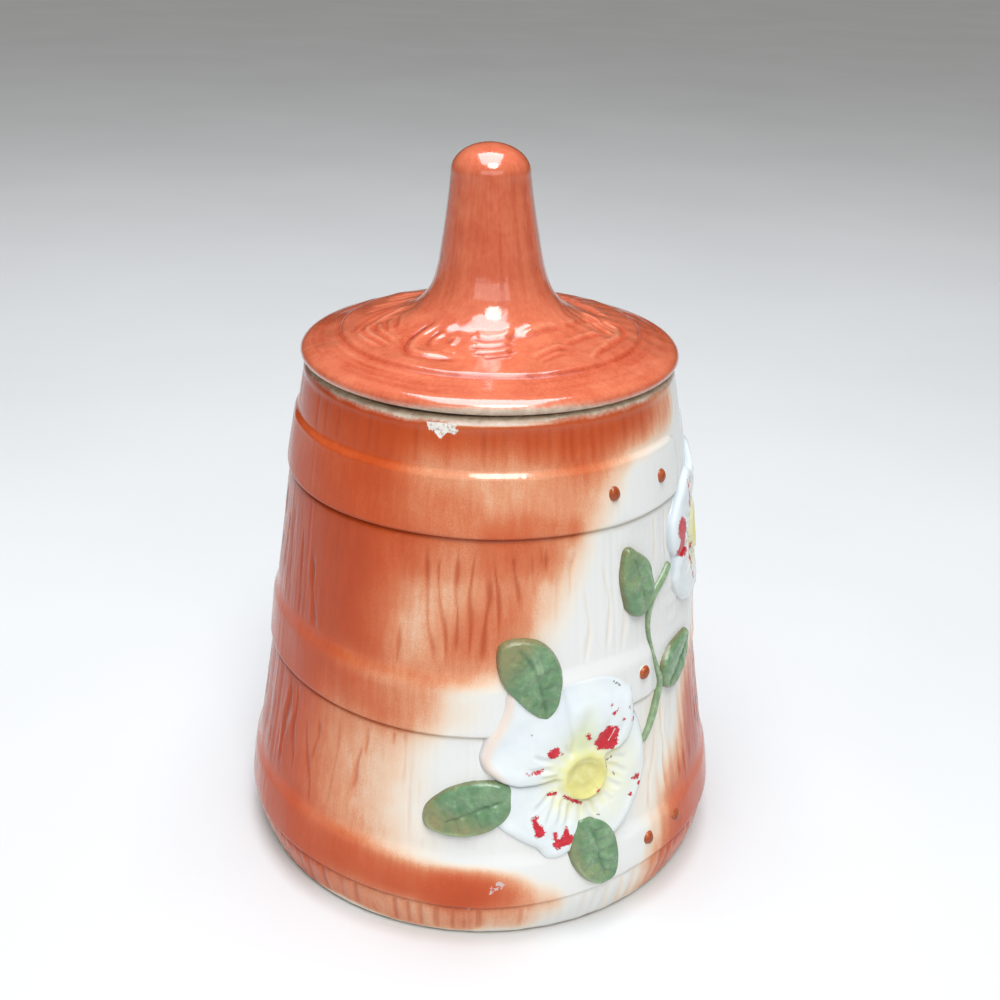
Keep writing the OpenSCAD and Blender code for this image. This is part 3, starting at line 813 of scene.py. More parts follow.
def disc_relief(x, y):
    r = np.hypot(x, y)
    h = np.zeros(x.shape)
    cav = np.zeros(x.shape)
    crest = np.zeros(x.shape)
    for pts, w, d in SWIRLS + far_swirls():
        pts = np.asarray(pts, float)
        m = ((x > pts[:, 0].min() - 6) & (x < pts[:, 0].max() + 6)
             & (y > pts[:, 1].min() - 6) & (y < pts[:, 1].max() + 6) & (r > 18) & (r < 60))
        if not m.any():
            continue
        dist, along, side = to_line(x[m], y[m], smooth_line(pts, 5))
        end = sstep(along, 0.0, 0.2) * (1 - sstep(along, 0.8, 1.0))
        s = dist * side
        ridge = np.exp(-((s / w) ** 2)) * end
        cut = np.exp(-(((s + 1.9 * w) / (0.85 * w)) ** 2)) * end
        h[m] += d * ridge - 0.75 * d * cut
        cav[m] = np.maximum(cav[m], cut * min(1, d / 0.4))
        crest[m] = np.maximum(crest[m], ridge * min(1, d / 0.4))
    keep = sstep(r, 24, 28) * (1 - sstep(r, 49.5, 52.5))
    return h * keep, cav * keep, crest * keep


def lid(mat):
    knob_at = lambda t: 14.1 + 4.9 * (1 - t) ** 1.2
    under = [(2.5, 264.6), (4.5, 264.0), (6.6, 262.4), (8.0, 259.8), (8.9, 256.0), (9.9, 249), (11.55, 240), (13.8, 228),
             (15.4, 222.5), (17.2, 218), (20.6, 211.6), (26, 206.6), (34, 203.3), (44, 201.2), (53.5, 199.0), (55.4, 198.2),
             (56.1, 196.6), (56.35, 187.2), (56.8, 185.6), (57.7, 185.0), (59.5, 185.0), (60.4, 185.5),
             (60.85, 187), (61.2, 193.4), (61.6, 193.95), (63.7, 194.0), (65.0, 194.3), (66.3, 194.85), (67.3, 195.25)]
    # the edge is undercut, so a dark gap shows between it and the jar's rim
    rise = [(67.9, 195.5), (68.3, 195.8), (68.65, 196.2), (68.9, 196.65), (69.0, 197.1), (68.95, 197.6), (68.75, 198.15), (68.45, 198.65),
            (68.0, 199.1), (67.4, 199.6), (66.5, 200.1), (65.3, 200.5), (64, 200.9)]
    ring = [(r, 200.9 + (64 - r) * 2.3 / 8.4) for r in np.arange(63.2, 55.9, -0.8)]
    step = [(55.5, 203.25), (55.05, 203.5), (54.7, 203.85), (54.35, 204.25), (53.95, 204.62), (53.5, 204.85), (52.9, 205.02), (52.2, 205.12)]
    top_r = [20.3, 21.8, 23.7, 25.4, 28, 32, 38, 45, 52.4]
    top_z = [223.4, 219.7, 216.5, 214.4, 212, 209.9, 207.9, 206.4, 205.1]
    disc = [(r, float(curve(top_r, top_z, r))) for r in np.arange(51.5, 27.9, -0.62)]
    neck = [(float(curve(top_z[:4][::-1] + [228.0], [25.4, 23.7, 21.8, 20.3, 19.0], z)), z)
            for z in np.arange(214.9, 227.5, 1.0)]
    neck = [(27.3, float(curve(top_r, top_z, 27.3))), (26.6, float(curve(top_r, top_z, 26.6))),
            (26.0, float(curve(top_r, top_z, 26.0)))] + neck
    knob = [(knob_at((z - 228) / 32), z) for z in np.arange(228.2, 259.8, 1.5)]
    cap = [(14.1 * math.cos(a), 260 + 10 * math.sin(a)) for a in np.radians([3, 9, 15, 22, 29, 36, 43, 50, 57, 64, 71, 78, 84, 88])]
    rows = np.array(under + rise + ring + step + disc + neck + knob + cap)
    nu = len(under)
    ni = 640
    az = np.arange(ni) * 360.0 / ni
    t = np.radians(az)
    # nudge the columns so that more of them fall on the front
    az = az - 14.0 * np.sin(t)
    t = np.radians(az)
    R = np.repeat(rows[:, :1], ni, 1)
    Z = np.repeat(rows[:, 1:], ni, 1)
    A = np.repeat(az[None], len(rows), 0)
    # outward normal of the profile, for pushing detail in and out
    dr = np.gradient(rows[:, 0]); dz = np.gradient(rows[:, 1])
    n = np.hypot(dr, dz) + 1e-9
    nr, nz = (dz / n)[:, None], (-dr / n)[:, None]
    top = (np.arange(len(rows)) >= nu)[:, None] & np.ones_like(R, bool)
    X, Y = R * np.sin(np.radians(A)), -R * np.cos(np.radians(A))
    h, cav, crest = disc_relief(X, Y)
    h, cav, crest = (np.where(top, v, 0.0) for v in (h, cav, crest))
    # brush lines round the outer ring and along the knob
    ringm = sstep(R, 54.5, 57) * (1 - sstep(R, 64.5, 67)) * top
    lines = np.zeros_like(R)
    g = np.random.default_rng(23)
    for _ in range(46):
        rc, ac, aw, w = g.uniform(55.5, 66.5), g.uniform(0, 360), g.uniform(9, 34), g.uniform(0.35, 0.75)
        da = (A - ac + 180) % 360 - 180
        lines += g.choice([-1, 1], p=[0.6, 0.4]) * g.uniform(0.05, 0.16) * bell(R, rc + 0.01 * da, w) * bell(da, 0, aw)
    for rc, ac, aw, w, d in ((61.0, -38, 22, 0.7, 0.2), (58.6, -44, 20, 0.6, 0.22), (63.6, -30, 26, 0.7, 0.2),
                             (59.8, -20, 18, 0.5, 0.14), (62.2, -8, 16, 0.5, 0.12), (57.2, 22, 30, 0.6, 0.12), (64.6, 34, 22, 0.6, 0.12)):
        da = (A - ac + 180) % 360 - 180
        lines -= d * bell(R, rc, w) * bell(da, 0, aw)
    h = h + lines * ringm
    cav = np.maximum(cav, np.clip(-lines * 5, 0, 1) * ringm * 0.8)
    crest = np.maximum(crest, np.clip(lines * 5, 0, 1) * ringm * 0.6)
    # colour has gathered at the foot of the step round the disc
    cav = np.maximum(cav, 0.75 * bell(R, 55.0, 1.1) * top)
    kn = sstep(Z, 212, 222) * (1 - sstep(Z, 256, 266)) * top
    tall = Waves(83, 18, (6, 40), (0.0, 0.05))(A, Z)
    h = h + kn * 0.035 * tall
    cav = np.maximum(cav, kn * np.clip(-tall - 0.6, 0, 1) * 0.35)
    # hand-finished unevenness
    disc_m = sstep(R, 22, 30) * top
    h = h + 0.10 * Waves(84, 12, (3, 14), (0, 0))(A, Z + R) * disc_m * (1 - sstep(R, 62, 66)) \
        + 0.05 * Waves(85, 16, (10, 40), (0.2, 0.5))(A, R) * disc_m * (1 - sstep(R, 62, 66))
    h = h + 0.12 * Waves(86, 8, (2, 9), (0.02, 0.08))(A, Z) * kn
    R2, Z2 = R + h * nr, Z + h * nz
    # the knob was pressed on a little askew
    lean = -math.tan(math.radians(1.2)) * np.clip(Z - 212, 0, None)
    lean = np.where(Z > 206, lean, 0.0)
    tt = np.radians(A)
    V = np.stack([R2 * np.sin(tt) + lean, -R2 * np.cos(tt), np.minimum(Z2, 269.98)], -1).reshape(-1, 3)
    # distance along the outline below the line where the brush stopped
    s = np.concatenate([[0], np.cumsum(np.hypot(np.diff(rows[:, 0]), np.diff(rows[:, 1])))])
    stop = s[nu]
    wob = 0.6 + 2.6 * bell((az + 180) % 360 - 180, 6, 24) + 0.18 * Waves(87, 10, (3, 20), (0, 0))(az, 0 * az)
    rim = stop - s[:, None] + wob[None]
    rim = np.where(top, rim, np.where((R > 56) & (Z < 199), 5.0, -5.0))
    nj = len(rows)
    ax = -math.tan(math.radians(1.2))
    V = np.vstack([V, [[ax * 52.8, 0, 264.8]], [[ax * 58, 0, 270.0]]])
    join = lambda v, e: np.concatenate([v.ravel(), e])
    return make("lid_glazed", V, shell_faces(nj, ni, nj * ni, nj * ni + 1),
                {"cav": join(cav, [0, 0]), "crest": join(crest, [0, 0]), "rim": join(rim, [-5, -9])},
                mat, "cover", ["lid"])


lid(lid_glaze())


# ---------------------------------------------------------------- relief
def on_wall(az0, z0, x, y, h):
    """Flat point (x right, y up) laid on the wall at az0, z0, standing h above it."""
    rho = wall_r(z0 + y) + h
    d = np.sqrt(np.maximum(rho ** 2 - x ** 2, 1.0))
    a = math.radians(az0)
    return np.stack([x * math.cos(a) + d * math.sin(a), x * math.sin(a) - d * math.cos(a), z0 + y + 0 * rho], -1)


def closed_line(pts, n=8):
    p = np.asarray(pts, float)
    m = len(p)
    out = []
    for i in range(m):
        a, b, c, d = p[(i - 1) % m], p[i], p[(i + 1) % m], p[(i + 2) % m]
        for t in np.arange(n) / n:
            out.append(0.5 * (2 * b + (c - a) * t + (2 * a - 5 * b + 4 * c - d) * t ** 2
                              + (-a + 3 * b - 3 * c + d) * t ** 3))
    return np.array(out)


def patch(at, outline, centre, n_ang, rim, inner, height, base=-0.8):
    """A closed pad: a polar grid inside an outline, raised by height(x, y, d) above the wall.

    d is the distance from the outline. Returns the points, the faces, and x, y, d of the grid."""
    line = closed_line(outline)
    c = np.asarray(centre, float)
    rel = line - c
    ang = np.unwrap(np.arctan2(rel[:, 1], rel[:, 0]))
    rad = np.hypot(rel[:, 0], rel[:, 1])
    if ang[-1] < ang[0]:
        ang, rad = ang[::-1], rad[::-1]
    order = np.argsort(ang % (2 * math.pi))
    th = np.arange(n_ang) * 2 * math.pi / n_ang
    b = np.interp(th, (ang % (2 * math.pi))[order], rad[order], period=2 * math.pi)
    rows = [b - e for e in rim] + [(b - rim[-1]) * s for s in inner]
    r = np.array(rows)
    x, y = c[0] + r * np.cos(th), c[1] + r * np.sin(th)
    d, _, _ = to_line(x, y, np.vstack([line, line[:1]]))
    d[0] = 0.0
    h = height(x, y, d)
    top = on_wall(at[0], at[1], x, y, h)
    under = []
    for s in (1.0, 0.66, 0.33):
        ux, uy = c[0] + b * s * np.cos(th), c[1] + b * s * np.sin(th)
        under.append(on_wall(at[0], at[1], ux, uy, np.full(n_ang, base)))
    hc = float(height(np.array([c[0]]), np.array([c[1]]), np.array([99.0]))[0])
    grid = np.concatenate([np.array(under)[::-1], top], 0)
    V = np.vstack([grid.reshape(-1, 3), on_wall(at[0], at[1], np.array([c[0]]), np.array([c[1]]), np.array([base])),
                   on_wall(at[0], at[1], np.array([c[0]]), np.array([c[1]]), np.array([hc]))])
    nj = len(grid)
    faces = shell_faces(nj, n_ang, nj * n_ang, nj * n_ang + 1)
    return V, faces, x, y, d


def spread(top, n_ang, under, end):
    """A grid attribute with values for the three hidden rings and the two end points."""
    return np.concatenate([np.full(3 * n_ang, under), top.ravel(), [under, end]])


def flake_field(x, y, flakes, lines, dots):
    """Signed distance (mm, + inside) to chips of old cold paint."""
    f = np.full(x.shape, -9.0)
    for poly in flakes:
        p = np.asarray(poly, float)
        m = (x > p[:, 0].min() - 3) & (x < p[:, 0].max() + 3) & (y > p[:, 1].min() - 3) & (y < p[:, 1].max() + 3)
        if m.any():
            f[m] = np.maximum(f[m], inside(x[m], y[m], p))
    for pts, w in lines:
        d, t, _ = to_line(x, y, pts)
        f = np.maximum(f, w * (0.75 + 0.25 * np.sin(t * 11)) - d)
    for cx, cy, r in dots:
        f = np.maximum(f, r - np.hypot(x - cx, y - cy))
    return f


def petal_glaze():
    p = Paint("petal_glaze", coat=0.2, spec=0.4)
    yel, grn, red, cav = p.attr("yellow"), p.attr("green"), p.attr("red"), p.attr("cav")
    peach, grey = p.attr("paint"), p.attr("grey")
    cloud = p.noise(70, 4, 0.6)
    fine = p.noise(900, 3, 0.6)
    col = p.ramp(cloud, [(0.3, lin(219, 227, 230)), (0.7, lin(232, 237, 237))])
    y = p.math("ADD", yel, p.math("MULTIPLY", p.fit(p.noise(260, 3, 0.6), 0.3, 0.7, -0.06, 0.06), p.fit(yel, 0.02, 0.4)))
    col = p.mix(p.fit(y, 0.02, 0.8, soft=False), col, p.ramp(y, [(0.0, lin(236, 238, 220)), (0.45, lin(236, 234, 188)),
                                                                (0.8, lin(230, 225, 156)), (1.0, lin(216, 208, 126))]))
    col = p.mix(grn, col, lin(214, 222, 164))
    # painted shade in the creases, the folds and along the outline: cool on the petals, olive near the throat
    crease_shade = p.mix(p.fit(yel, 0.0, 0.5), lin(160, 174, 184), lin(196, 188, 128))
    col = p.mix(p.math("MULTIPLY", cav, 0.34), col, crease_shade)
    col = p.mix(p.fit(peach, 0.0, 1.0, soft=False), col, lin(238, 206, 180))
    rag = p.math("ADD", p.math("ADD", red, 0.14), p.fit(p.noise(1500, 4, 0.7), 0.28, 0.72, -0.6, 0.6))
    rag = p.math("ADD", rag, p.fit(p.noise(420, 2, 0.5), 0.3, 0.7, -0.35, 0.35))
    on = p.fit(rag, -0.03, 0.05)
    halo = p.fit(rag, -0.45, 0.0, 0.0, 0.18)
    col = p.mix(halo, col, lin(214, 170, 168))
    paint = p.ramp(p.noise(500, 3, 0.6), [(0.3, lin(180, 14, 32)), (0.55, lin(206, 22, 42)), (0.8, lin(220, 56, 74))])
    paint = p.mix(p.fit(rag, 0.05, 0.4, 0.55, 0.0), paint, lin(134, 28, 46))
    col = p.mix(on, col, paint)
    g = p.math("ADD", grey, p.fit(fine, 0.3, 0.7, -0.3, 0.3))
    col = p.mix(p.fit(g, -0.05, 0.1, 0.0, 0.8), col, lin(120, 112, 116))
    rough = p.math("ADD", p.fit(cloud, 0.3, 0.7, 0.16, 0.26), p.math("MULTIPLY", on, 0.22))
    nrm = p.bump(on, 0.35, 0.00012)
    nrm = p.bump(p.noise(300, 4, 0.6), 0.10, 0.0004, nrm)
    return p.done(col, rough, nrm)


def petals(x, y, d, spec):
    """Height of a blossom above the wall, and how much painted shade each point gets in creases, folds and along the
    outline.
    """
    cx, cy = spec["centre"]
    r = np.hypot(x - cx, y - cy)
    th = np.degrees(np.arctan2(y - cy, x - cx))
    at_r = lambda f: np.interp(r, f["r"], f["th"])
    base = at_r(spec["folds"][0])
    phi = (th - base) % 360
    n = len(spec["folds"])
    idx = np.zeros(x.shape, int)
    for k in range(1, n):
        idx += (phi >= (at_r(spec["folds"][k]) - base) % 360)
    level = np.asarray(spec["levels"], float)
    h = level[idx]
    cav = np.zeros(x.shape)
    grow = sstep(r, 9, 13)
    for k, f in enumerate(spec["folds"]):
        a = np.radians((th - at_r(f) + 180) % 360 - 180) * r
        ccw, cw = level[k], level[(k - 1) % n]
        if f["kind"] == "soft":
            near = np.abs(a) < 3.5
            mixed = cw + (ccw - cw) * sstep(a, -3.5, 3.5)
            h = np.where(near, mixed, h)
            h = h - 0.55 * bell(a, 0, 1.5) * grow
            # painted shade in the soft fold
            cav = np.maximum(cav, 0.5 * bell(a, 0, 0.8) * grow)
        else:
            s = a if f["kind"] == "ccw" else -a          # + on the upper petal
            up = (s >= 0) & (s < 1.6)
            h = h - np.where(up, 0.6 * (1 - np.clip(s / 1.6, 0, 1)) ** 2.2, 0) * grow
            h = h + np.where(s > 0, 0.4 * np.exp(-(((s - 3.2) / 2.6) ** 2)), 0) * grow
            lowm = (s < 0) & (s > -12)
            h = h - np.where(lowm, 0.85 * np.exp(s / 2.8), 0) * grow
            # painted shade under the upper petal's edge
            cav = np.maximum(cav, 1.6 * bell(s, -0.3, 0.7) * grow)
    # each petal swells outward from the throat
    h = h + 0.75 * bell(r, 21, 8.5) - 0.5 * bell(r, 11.6, 3.0)
    h = h + 0.16 * bell(d, 3.2, 1.3)
    for pts, w, dep in spec["creases"]:
        dist, along, side = to_line(x, y, smooth_line(pts, 4))
        end = sstep(along, 0.0, 0.2) * (1 - sstep(along, 0.72, 1.0))
        w, dep = 1.15 * w, 0.95 * dep
        v = np.exp(-((dist / w) ** 2)) * end
        h = h - dep * v + 0.45 * dep * np.exp(-(((dist - 2.0 * w) / w) ** 2)) * end
        # painted shade in the crease
        cav = np.maximum(cav, v * min(1.0, 0.7 / w) * 0.5)
    # painted shadow line along the petal outline
    cav = np.maximum(cav, 1.5 * (1 - sstep(d, 0.1, 0.9)))
    # dished centre with a raised rim, crisp at the right and below, soft at the left
    crisp = 0.12 + 0.88 * sstep(np.cos(np.radians(th + 50)), -0.1, 0.6)
    rim = spec["rim"]
    bowl = spec["dish"] + 1.5 * np.clip(r / rim, 0, 1) ** 2.4
    outer = 3.0 - (3.0 - h) * sstep(r, rim + 0.4, rim + 1.0 + 2.4 * (1.2 - crisp))
    h = np.where(r < rim, np.minimum(bowl + 0.0 * r, 3.1), outer)
    h = h + 0.22 * crisp * bell(r, rim, 0.8) - 0.32 * crisp * bell(r, rim + 1.7, 0.7)
    # painted shadow line just outside the rim, on the right and below
    cav = np.maximum(cav, crisp * bell(r, rim + 1.6, 0.5) * 0.9)
    # the dish lines are dented and get painted shade
    for pts, w, dep in spec["dish_lines"]:
        dist, along, side = to_line(x, y, smooth_line(pts, 4))
        v = np.exp(-((dist / w) ** 2)) * sstep(along, 0, 0.2) * (1 - sstep(along, 0.8, 1))
        h = h - dep * v
        cav = np.maximum(cav, v * 0.9)
    wav = (np.sin(x * 0.55 + 1.3) * np.cos(y * 0.48 + 0.4) + np.sin(x * 0.31 - y * 0.43)) * 0.07
    h = h + wav * sstep(d, 0.5, 3)
    return h, cav, r, th


def rounded(h, d, width, base=-0.8):
    k = np.sqrt(np.clip(1 - (1 - np.clip(d / width, 0, 1)) ** 2, 0, 1))
    return base + (h - base) * k


LOWER = {
    "at": (24.0, 65.5), "centre": (1.4, -0.9), "rim": 7.6, "dish": 1.5,
    "outline": [(28.4, 2.2), (28.8, -3.7), (27.5, -9.6), (25.5, -14.2), (22.0, -19.8), (18.4, -24.2), (13.6, -27.6),
                (8.2, -28.6), (3.6, -27.6), (-1.4, -28.2), (-5.4, -29.7), (-8.8, -31.1), (-12.2, -31.4), (-15.4, -29.8),
                (-17.8, -26.2), (-21.6, -23.8), (-26.2, -20.6), (-30.4, -17.0), (-31.6, -11.6), (-29.6, -6.2),
                (-28.8, -1.6), (-31.2, 1.7), (-34.4, 5.4), (-35.4, 9.8), (-34.7, 12.9), (-33.0, 17.2), (-29.8, 22.6),
                (-27.4, 28.8), (-26.6, 33.6), (-23.8, 37.4), (-16, 38.6), (-8, 38.8), (0, 38.7), (8, 38.2), (14.4, 36.6),
                (19.4, 32.6), (22.2, 27), (23.2, 21.5), (24.2, 17.0), (26.2, 12.4), (27.6, 7.6)],
    # folds anticlockwise from the one between the top and right petals
    "folds": [
        {"kind": "ccw", "r": [8, 10.1, 12.3, 16.1, 20.7, 25, 28.3, 30.7], "th": [41, 36.5, 31.8, 27.4, 28.9, 34.9, 39.8, 45.5]},
        {"kind": "soft", "r": [8, 15.5, 27.7, 40], "th": [122, 107, 103.4, 102]},
        {"kind": "cw", "r": [9, 12.8, 18.5, 24.7, 29.4, 36], "th": [173, 175.5, 178.5, 179.3, 177, 172]},
        {"kind": "soft", "r": [8, 17, 24, 32], "th": [267, 275, 279, 281]}],
    "levels": [2.55, 2.4, 1.75, 1.7],
    "creases": [
        ([(-18.6, 11), (-14.8, 9.1), (-10.6, 7.4)], 0.7, 0.28),
        ([(-20.5, 5.2), (-15, 5.4), (-10, 4.2)], 0.7, 0.34),
        ([(-16.5, 2.2), (-12.5, 2.0), (-8.6, 1.2)], 0.55, 0.25),
        ([(-6.9, 13.5), (-5.2, 10.4), (-3.6, 8.4)], 0.7, 0.25),
        ([(-9.6, -4.6), (-11.4, -9.9), (-12.9, -12.8), (-14.3, -18)], 0.75, 0.42),
        ([(-11.6, -4.1), (-16.2, -8.5), (-18.8, -11)], 0.7, 0.36),
        ([(-4.4, -8.9), (-5.7, -14.2), (-7.4, -19.4)], 0.75, 0.42),
        ([(-7.4, -7.2), (-8.8, -12.4), (-10.6, -18.4)], 0.6, 0.32),
        ([(-0.6, -9.8), (-1.6, -14.2), (-2.4, -18.6)], 0.65, 0.32),
        ([(9.6, 1.4), (13.8, -0.9), (19.6, -4.9)], 0.75, 0.42),
        ([(9.8, 3.4), (14.5, 2.8), (19.5, 0.9)], 0.7, 0.34),
        ([(8.8, -3.8), (12.4, -7), (17, -9.8)], 0.75, 0.42),
        ([(6.7, -7.5), (9.5, -10.9), (13, -14)], 0.75, 0.42),
        ([(2.9, -9.4), (4.8, -14.2), (6.6, -18.4)], 0.7, 0.36),
        ([(0.6, 15), (2.2, 20), (3.4, 27)], 1.8, 0.22),
        ([(6.2, 10.2), (9.4, 15), (12.5, 21)], 1.1, 0.16),
        ([(11.2, 8.4), (15.4, 12.4), (18.6, 17.5)], 1.2, 0.14),
    ],
    "dish_lines": [([(-4.4, 1.2), (-1.9, 3.2), (1.9, 3.5), (5.2, 1.9), (6.9, 0.1)], 0.5, 0.22),
                   ([(-2.6, -2.8), (0.4, -4.4), (3.6, -3.4)], 0.7, 0.12)],
}
FLAKES = [
    [(4.8, 11), (7.6, 14.9), (10.5, 16.8), (12.4, 16), (14.8, 15.3), (15, 13), (13.8, 11), (14.5, 9.1), (12.4, 6.8), (9.5, 7.7), (6.7, 8.7)],
    [(1.7, 15.3), (2.4, 16.3), (4, 13.4), (2.4, 13.2)],
    [(-13.1, 11.3), (-11.4, 12.7), (-9.5, 13), (-8.6, 11), (-9.5, 9.6), (-11, 9.4), (-12.6, 10.3)],
    [(-19.3, -13.2), (-17.6, -12.5), (-17.4, -14.7), (-16, -16.6), (-15, -19), (-16.2, -20.4), (-17.9, -20.4), (-19, -17)],
    [(-12.1, -24.7), (-11.4, -23.2), (-11.9, -19.9), (-11, -19.9), (-10.2, -22.8), (-8.1, -21.3), (-7.1, -18.2), (-6.4, -19.4),
     (-5.2, -22.3), (-2.9, -22.3), (-1, -20.4), (-1, -17.5), (0.2, -17.3), (0, -19.4), (-2.4, -22.8), (-4.5, -24.7), (-6.7, -25.6), (-10.5, -26.3)],
    [(21, -8), (22.4, -7.5), (24.5, -7.5), (24.3, -9), (22.4, -9.2)],
]
FLAKE_LINES = [([(-20.7, 4.9), (-19.5, 4.4), (-17.1, 4.9), (-14.8, 5.3)], 0.35), ([(-12.9, -5.1), (-9.8, -5.4)], 0.4),
               ([(-7.1, -6.6), (-4.8, -8.5), (-2.9, -9.4), (-1, -11.1)], 0.75), ([(21.9, 15.8), (22.6, 18.6)], 0.35)]
FLAKE_DOTS = [(-7.6, 10.1, .45), (20.2, -13.7, .6), (6.4, -7.5, .7), (13.1, 20.6, .6), (12.3, 23.9, .35), (17.6, 17.2, .4),
              (21.9, 15.8, .8), (24.6, -11, .5), (14.6, 21.6, .3), (19.8, 20.8, .35)]
GREYS = [([(13.8, 31.8), (17.1, 29.4)], 0.3), ([(-18.4, 18.8), (-17.4, 19.3)], 0.25), ([(-15.1, 18.8), (-14.8, 18.8)], 0.25),
         ([(5.7, -16.8), (6.2, -17)], 0.35), ([(19.7, 34.1), (20.0, 34.1)], 0.25), ([(10.5, 2.6), (12.8, 2.9)], 0.25),
         ([(13.0, -2.6), (13.8, -4.2)], 0.25), ([(9.4, 1.6), (10.6, -0.4)], 0.2)]

UPPER = {
    "at": (80.6, 132.7), "centre": (0.0, 0.0), "rim": 7.8, "dish": 1.5,
    "outline": [(-2, 24), (-6, 26.5), (-12.5, 25.6), (-19.5, 21.6), (-26.6, 15.4), (-29.6, 9.4), (-29.2, 2.2), (-27.4, -1.8),
                (-27.8, -6), (-28.8, -11), (-26.6, -17), (-21.4, -22), (-14, -24.6), (-7.5, -24), (-3.5, -21.6),
                (2, -27.5), (9, -30.5), (18, -28), (25, -20), (27, -10), (25.4, -3), (24, 0.5),
                (28, 5), (32, 12), (30, 20), (23, 27), (13, 31), (4, 30)],
    "folds": [
        {"kind": "cw", "r": [8, 14, 20, 26, 34], "th": [90, 93, 96, 95, 92]},
        {"kind": "ccw", "r": [8, 14, 20, 28, 34], "th": [186, 181, 180, 184, 186]},
        {"kind": "soft", "r": [8, 22, 34], "th": [256, 261, 262]},
        {"kind": "cw", "r": [8, 14, 24, 34], "th": [355, 358, 360, 362]}],
    "levels": [2.45, 1.7, 1.75, 2.3],
    "creases": [([(-10, 2), (-15, 4), (-21, 4.6)], 0.8, 0.4), ([(-9, 6), (-14, 9.5), (-19, 12.5)], 0.8, 0.38),
                ([(-6, 9), (-9, 14), (-12, 20)], 0.8, 0.36), ([(-1.5, 10.5), (-3, 16), (-4, 22)], 0.8, 0.3),
                ([(-9, -4), (-14, -8), (-20, -11)], 0.9, 0.36), ([(-6, -8), (-9, -13), (-12, -19)], 0.9, 0.36),
                ([(1, -10), (2, -16), (4, -22)], 0.8, 0.36), ([(6, -8), (10, -13), (14, -19)], 0.8, 0.36),
                ([(9, -4), (14, -6), (20, -8)], 0.8, 0.32), ([(10, 2), (16, 5), (22, 8)], 0.8, 0.36),
                ([(7, 8), (11, 13), (15, 19)], 0.8, 0.36), ([(2, 10), (4, 16), (5, 22)], 0.8, 0.3)],
    "dish_lines": [([(-4.6, 1.0), (-1.8, 3.2), (2.0, 3.4), (5.0, 1.6)], 0.5, 0.2)],
}
UP_FLAKES = [
    [(-25.2, 11.4), (-23.2, 12.6), (-20.4, 11.3), (-18.8, 7.5), (-19.6, 4.6), (-20.2, 3.0), (-19.4, 0.2), (-18.6, -2.2),
     (-22.0, -3.0), (-25.2, -1.6), (-27.0, 1.0), (-26.2, 2.8), (-24.8, 4.4), (-26.0, 6.6), (-26.8, 9.0)],
    [(-14.2, 15.4), (-12.4, 14.8), (-10.4, 12.2), (-11.2, 11.6), (-13.2, 13.2)],
    [(-13.4, -8.0), (-11.0, -7.6), (-9.6, -10.4), (-10.4, -13.0), (-12.0, -10.8)],
    [(8, 14), (11, 17.5), (14, 17), (15, 13), (12, 11)], [(12, -12), (15, -11), (18, -14), (15, -17), (12.4, -15)],
]
UP_LINES = [([(-13.2, 22.8), (-12.4, 20.2)], 0.4),([(-13.6, 19), (-12.4, 16.6), (-12.6, 13.6)], 0.4),
            ([(-15.0, -4.0), (-13.6, -7)], 0.3), ([(4, -12), (6, -17)], 0.35),
            ([(-9.4, 23.0), (-8.8, 20.4)], 0.5), ([(-10.6, 17.6), (-10.0, 15.2)], 0.45), ([(-9.4, -3.6), (-9.0, -6.4)], 0.55),
            ([(-8.6, -9.6), (-8.8, -12.6)], 0.5), ([(-9.6, -15.4), (-9.2, -18.6)], 0.5), ([(-12.6, -10), (-12.2, -13.6)], 0.35)]
UP_DOTS = [(-13.1, 6.3, .7), (-15.6, 3.0, .5), (18, 6, .6), (20, -4, .5), (3, 18, .6), (-11.4, 20.4, .45), (-11.8, -16.8, .4)]


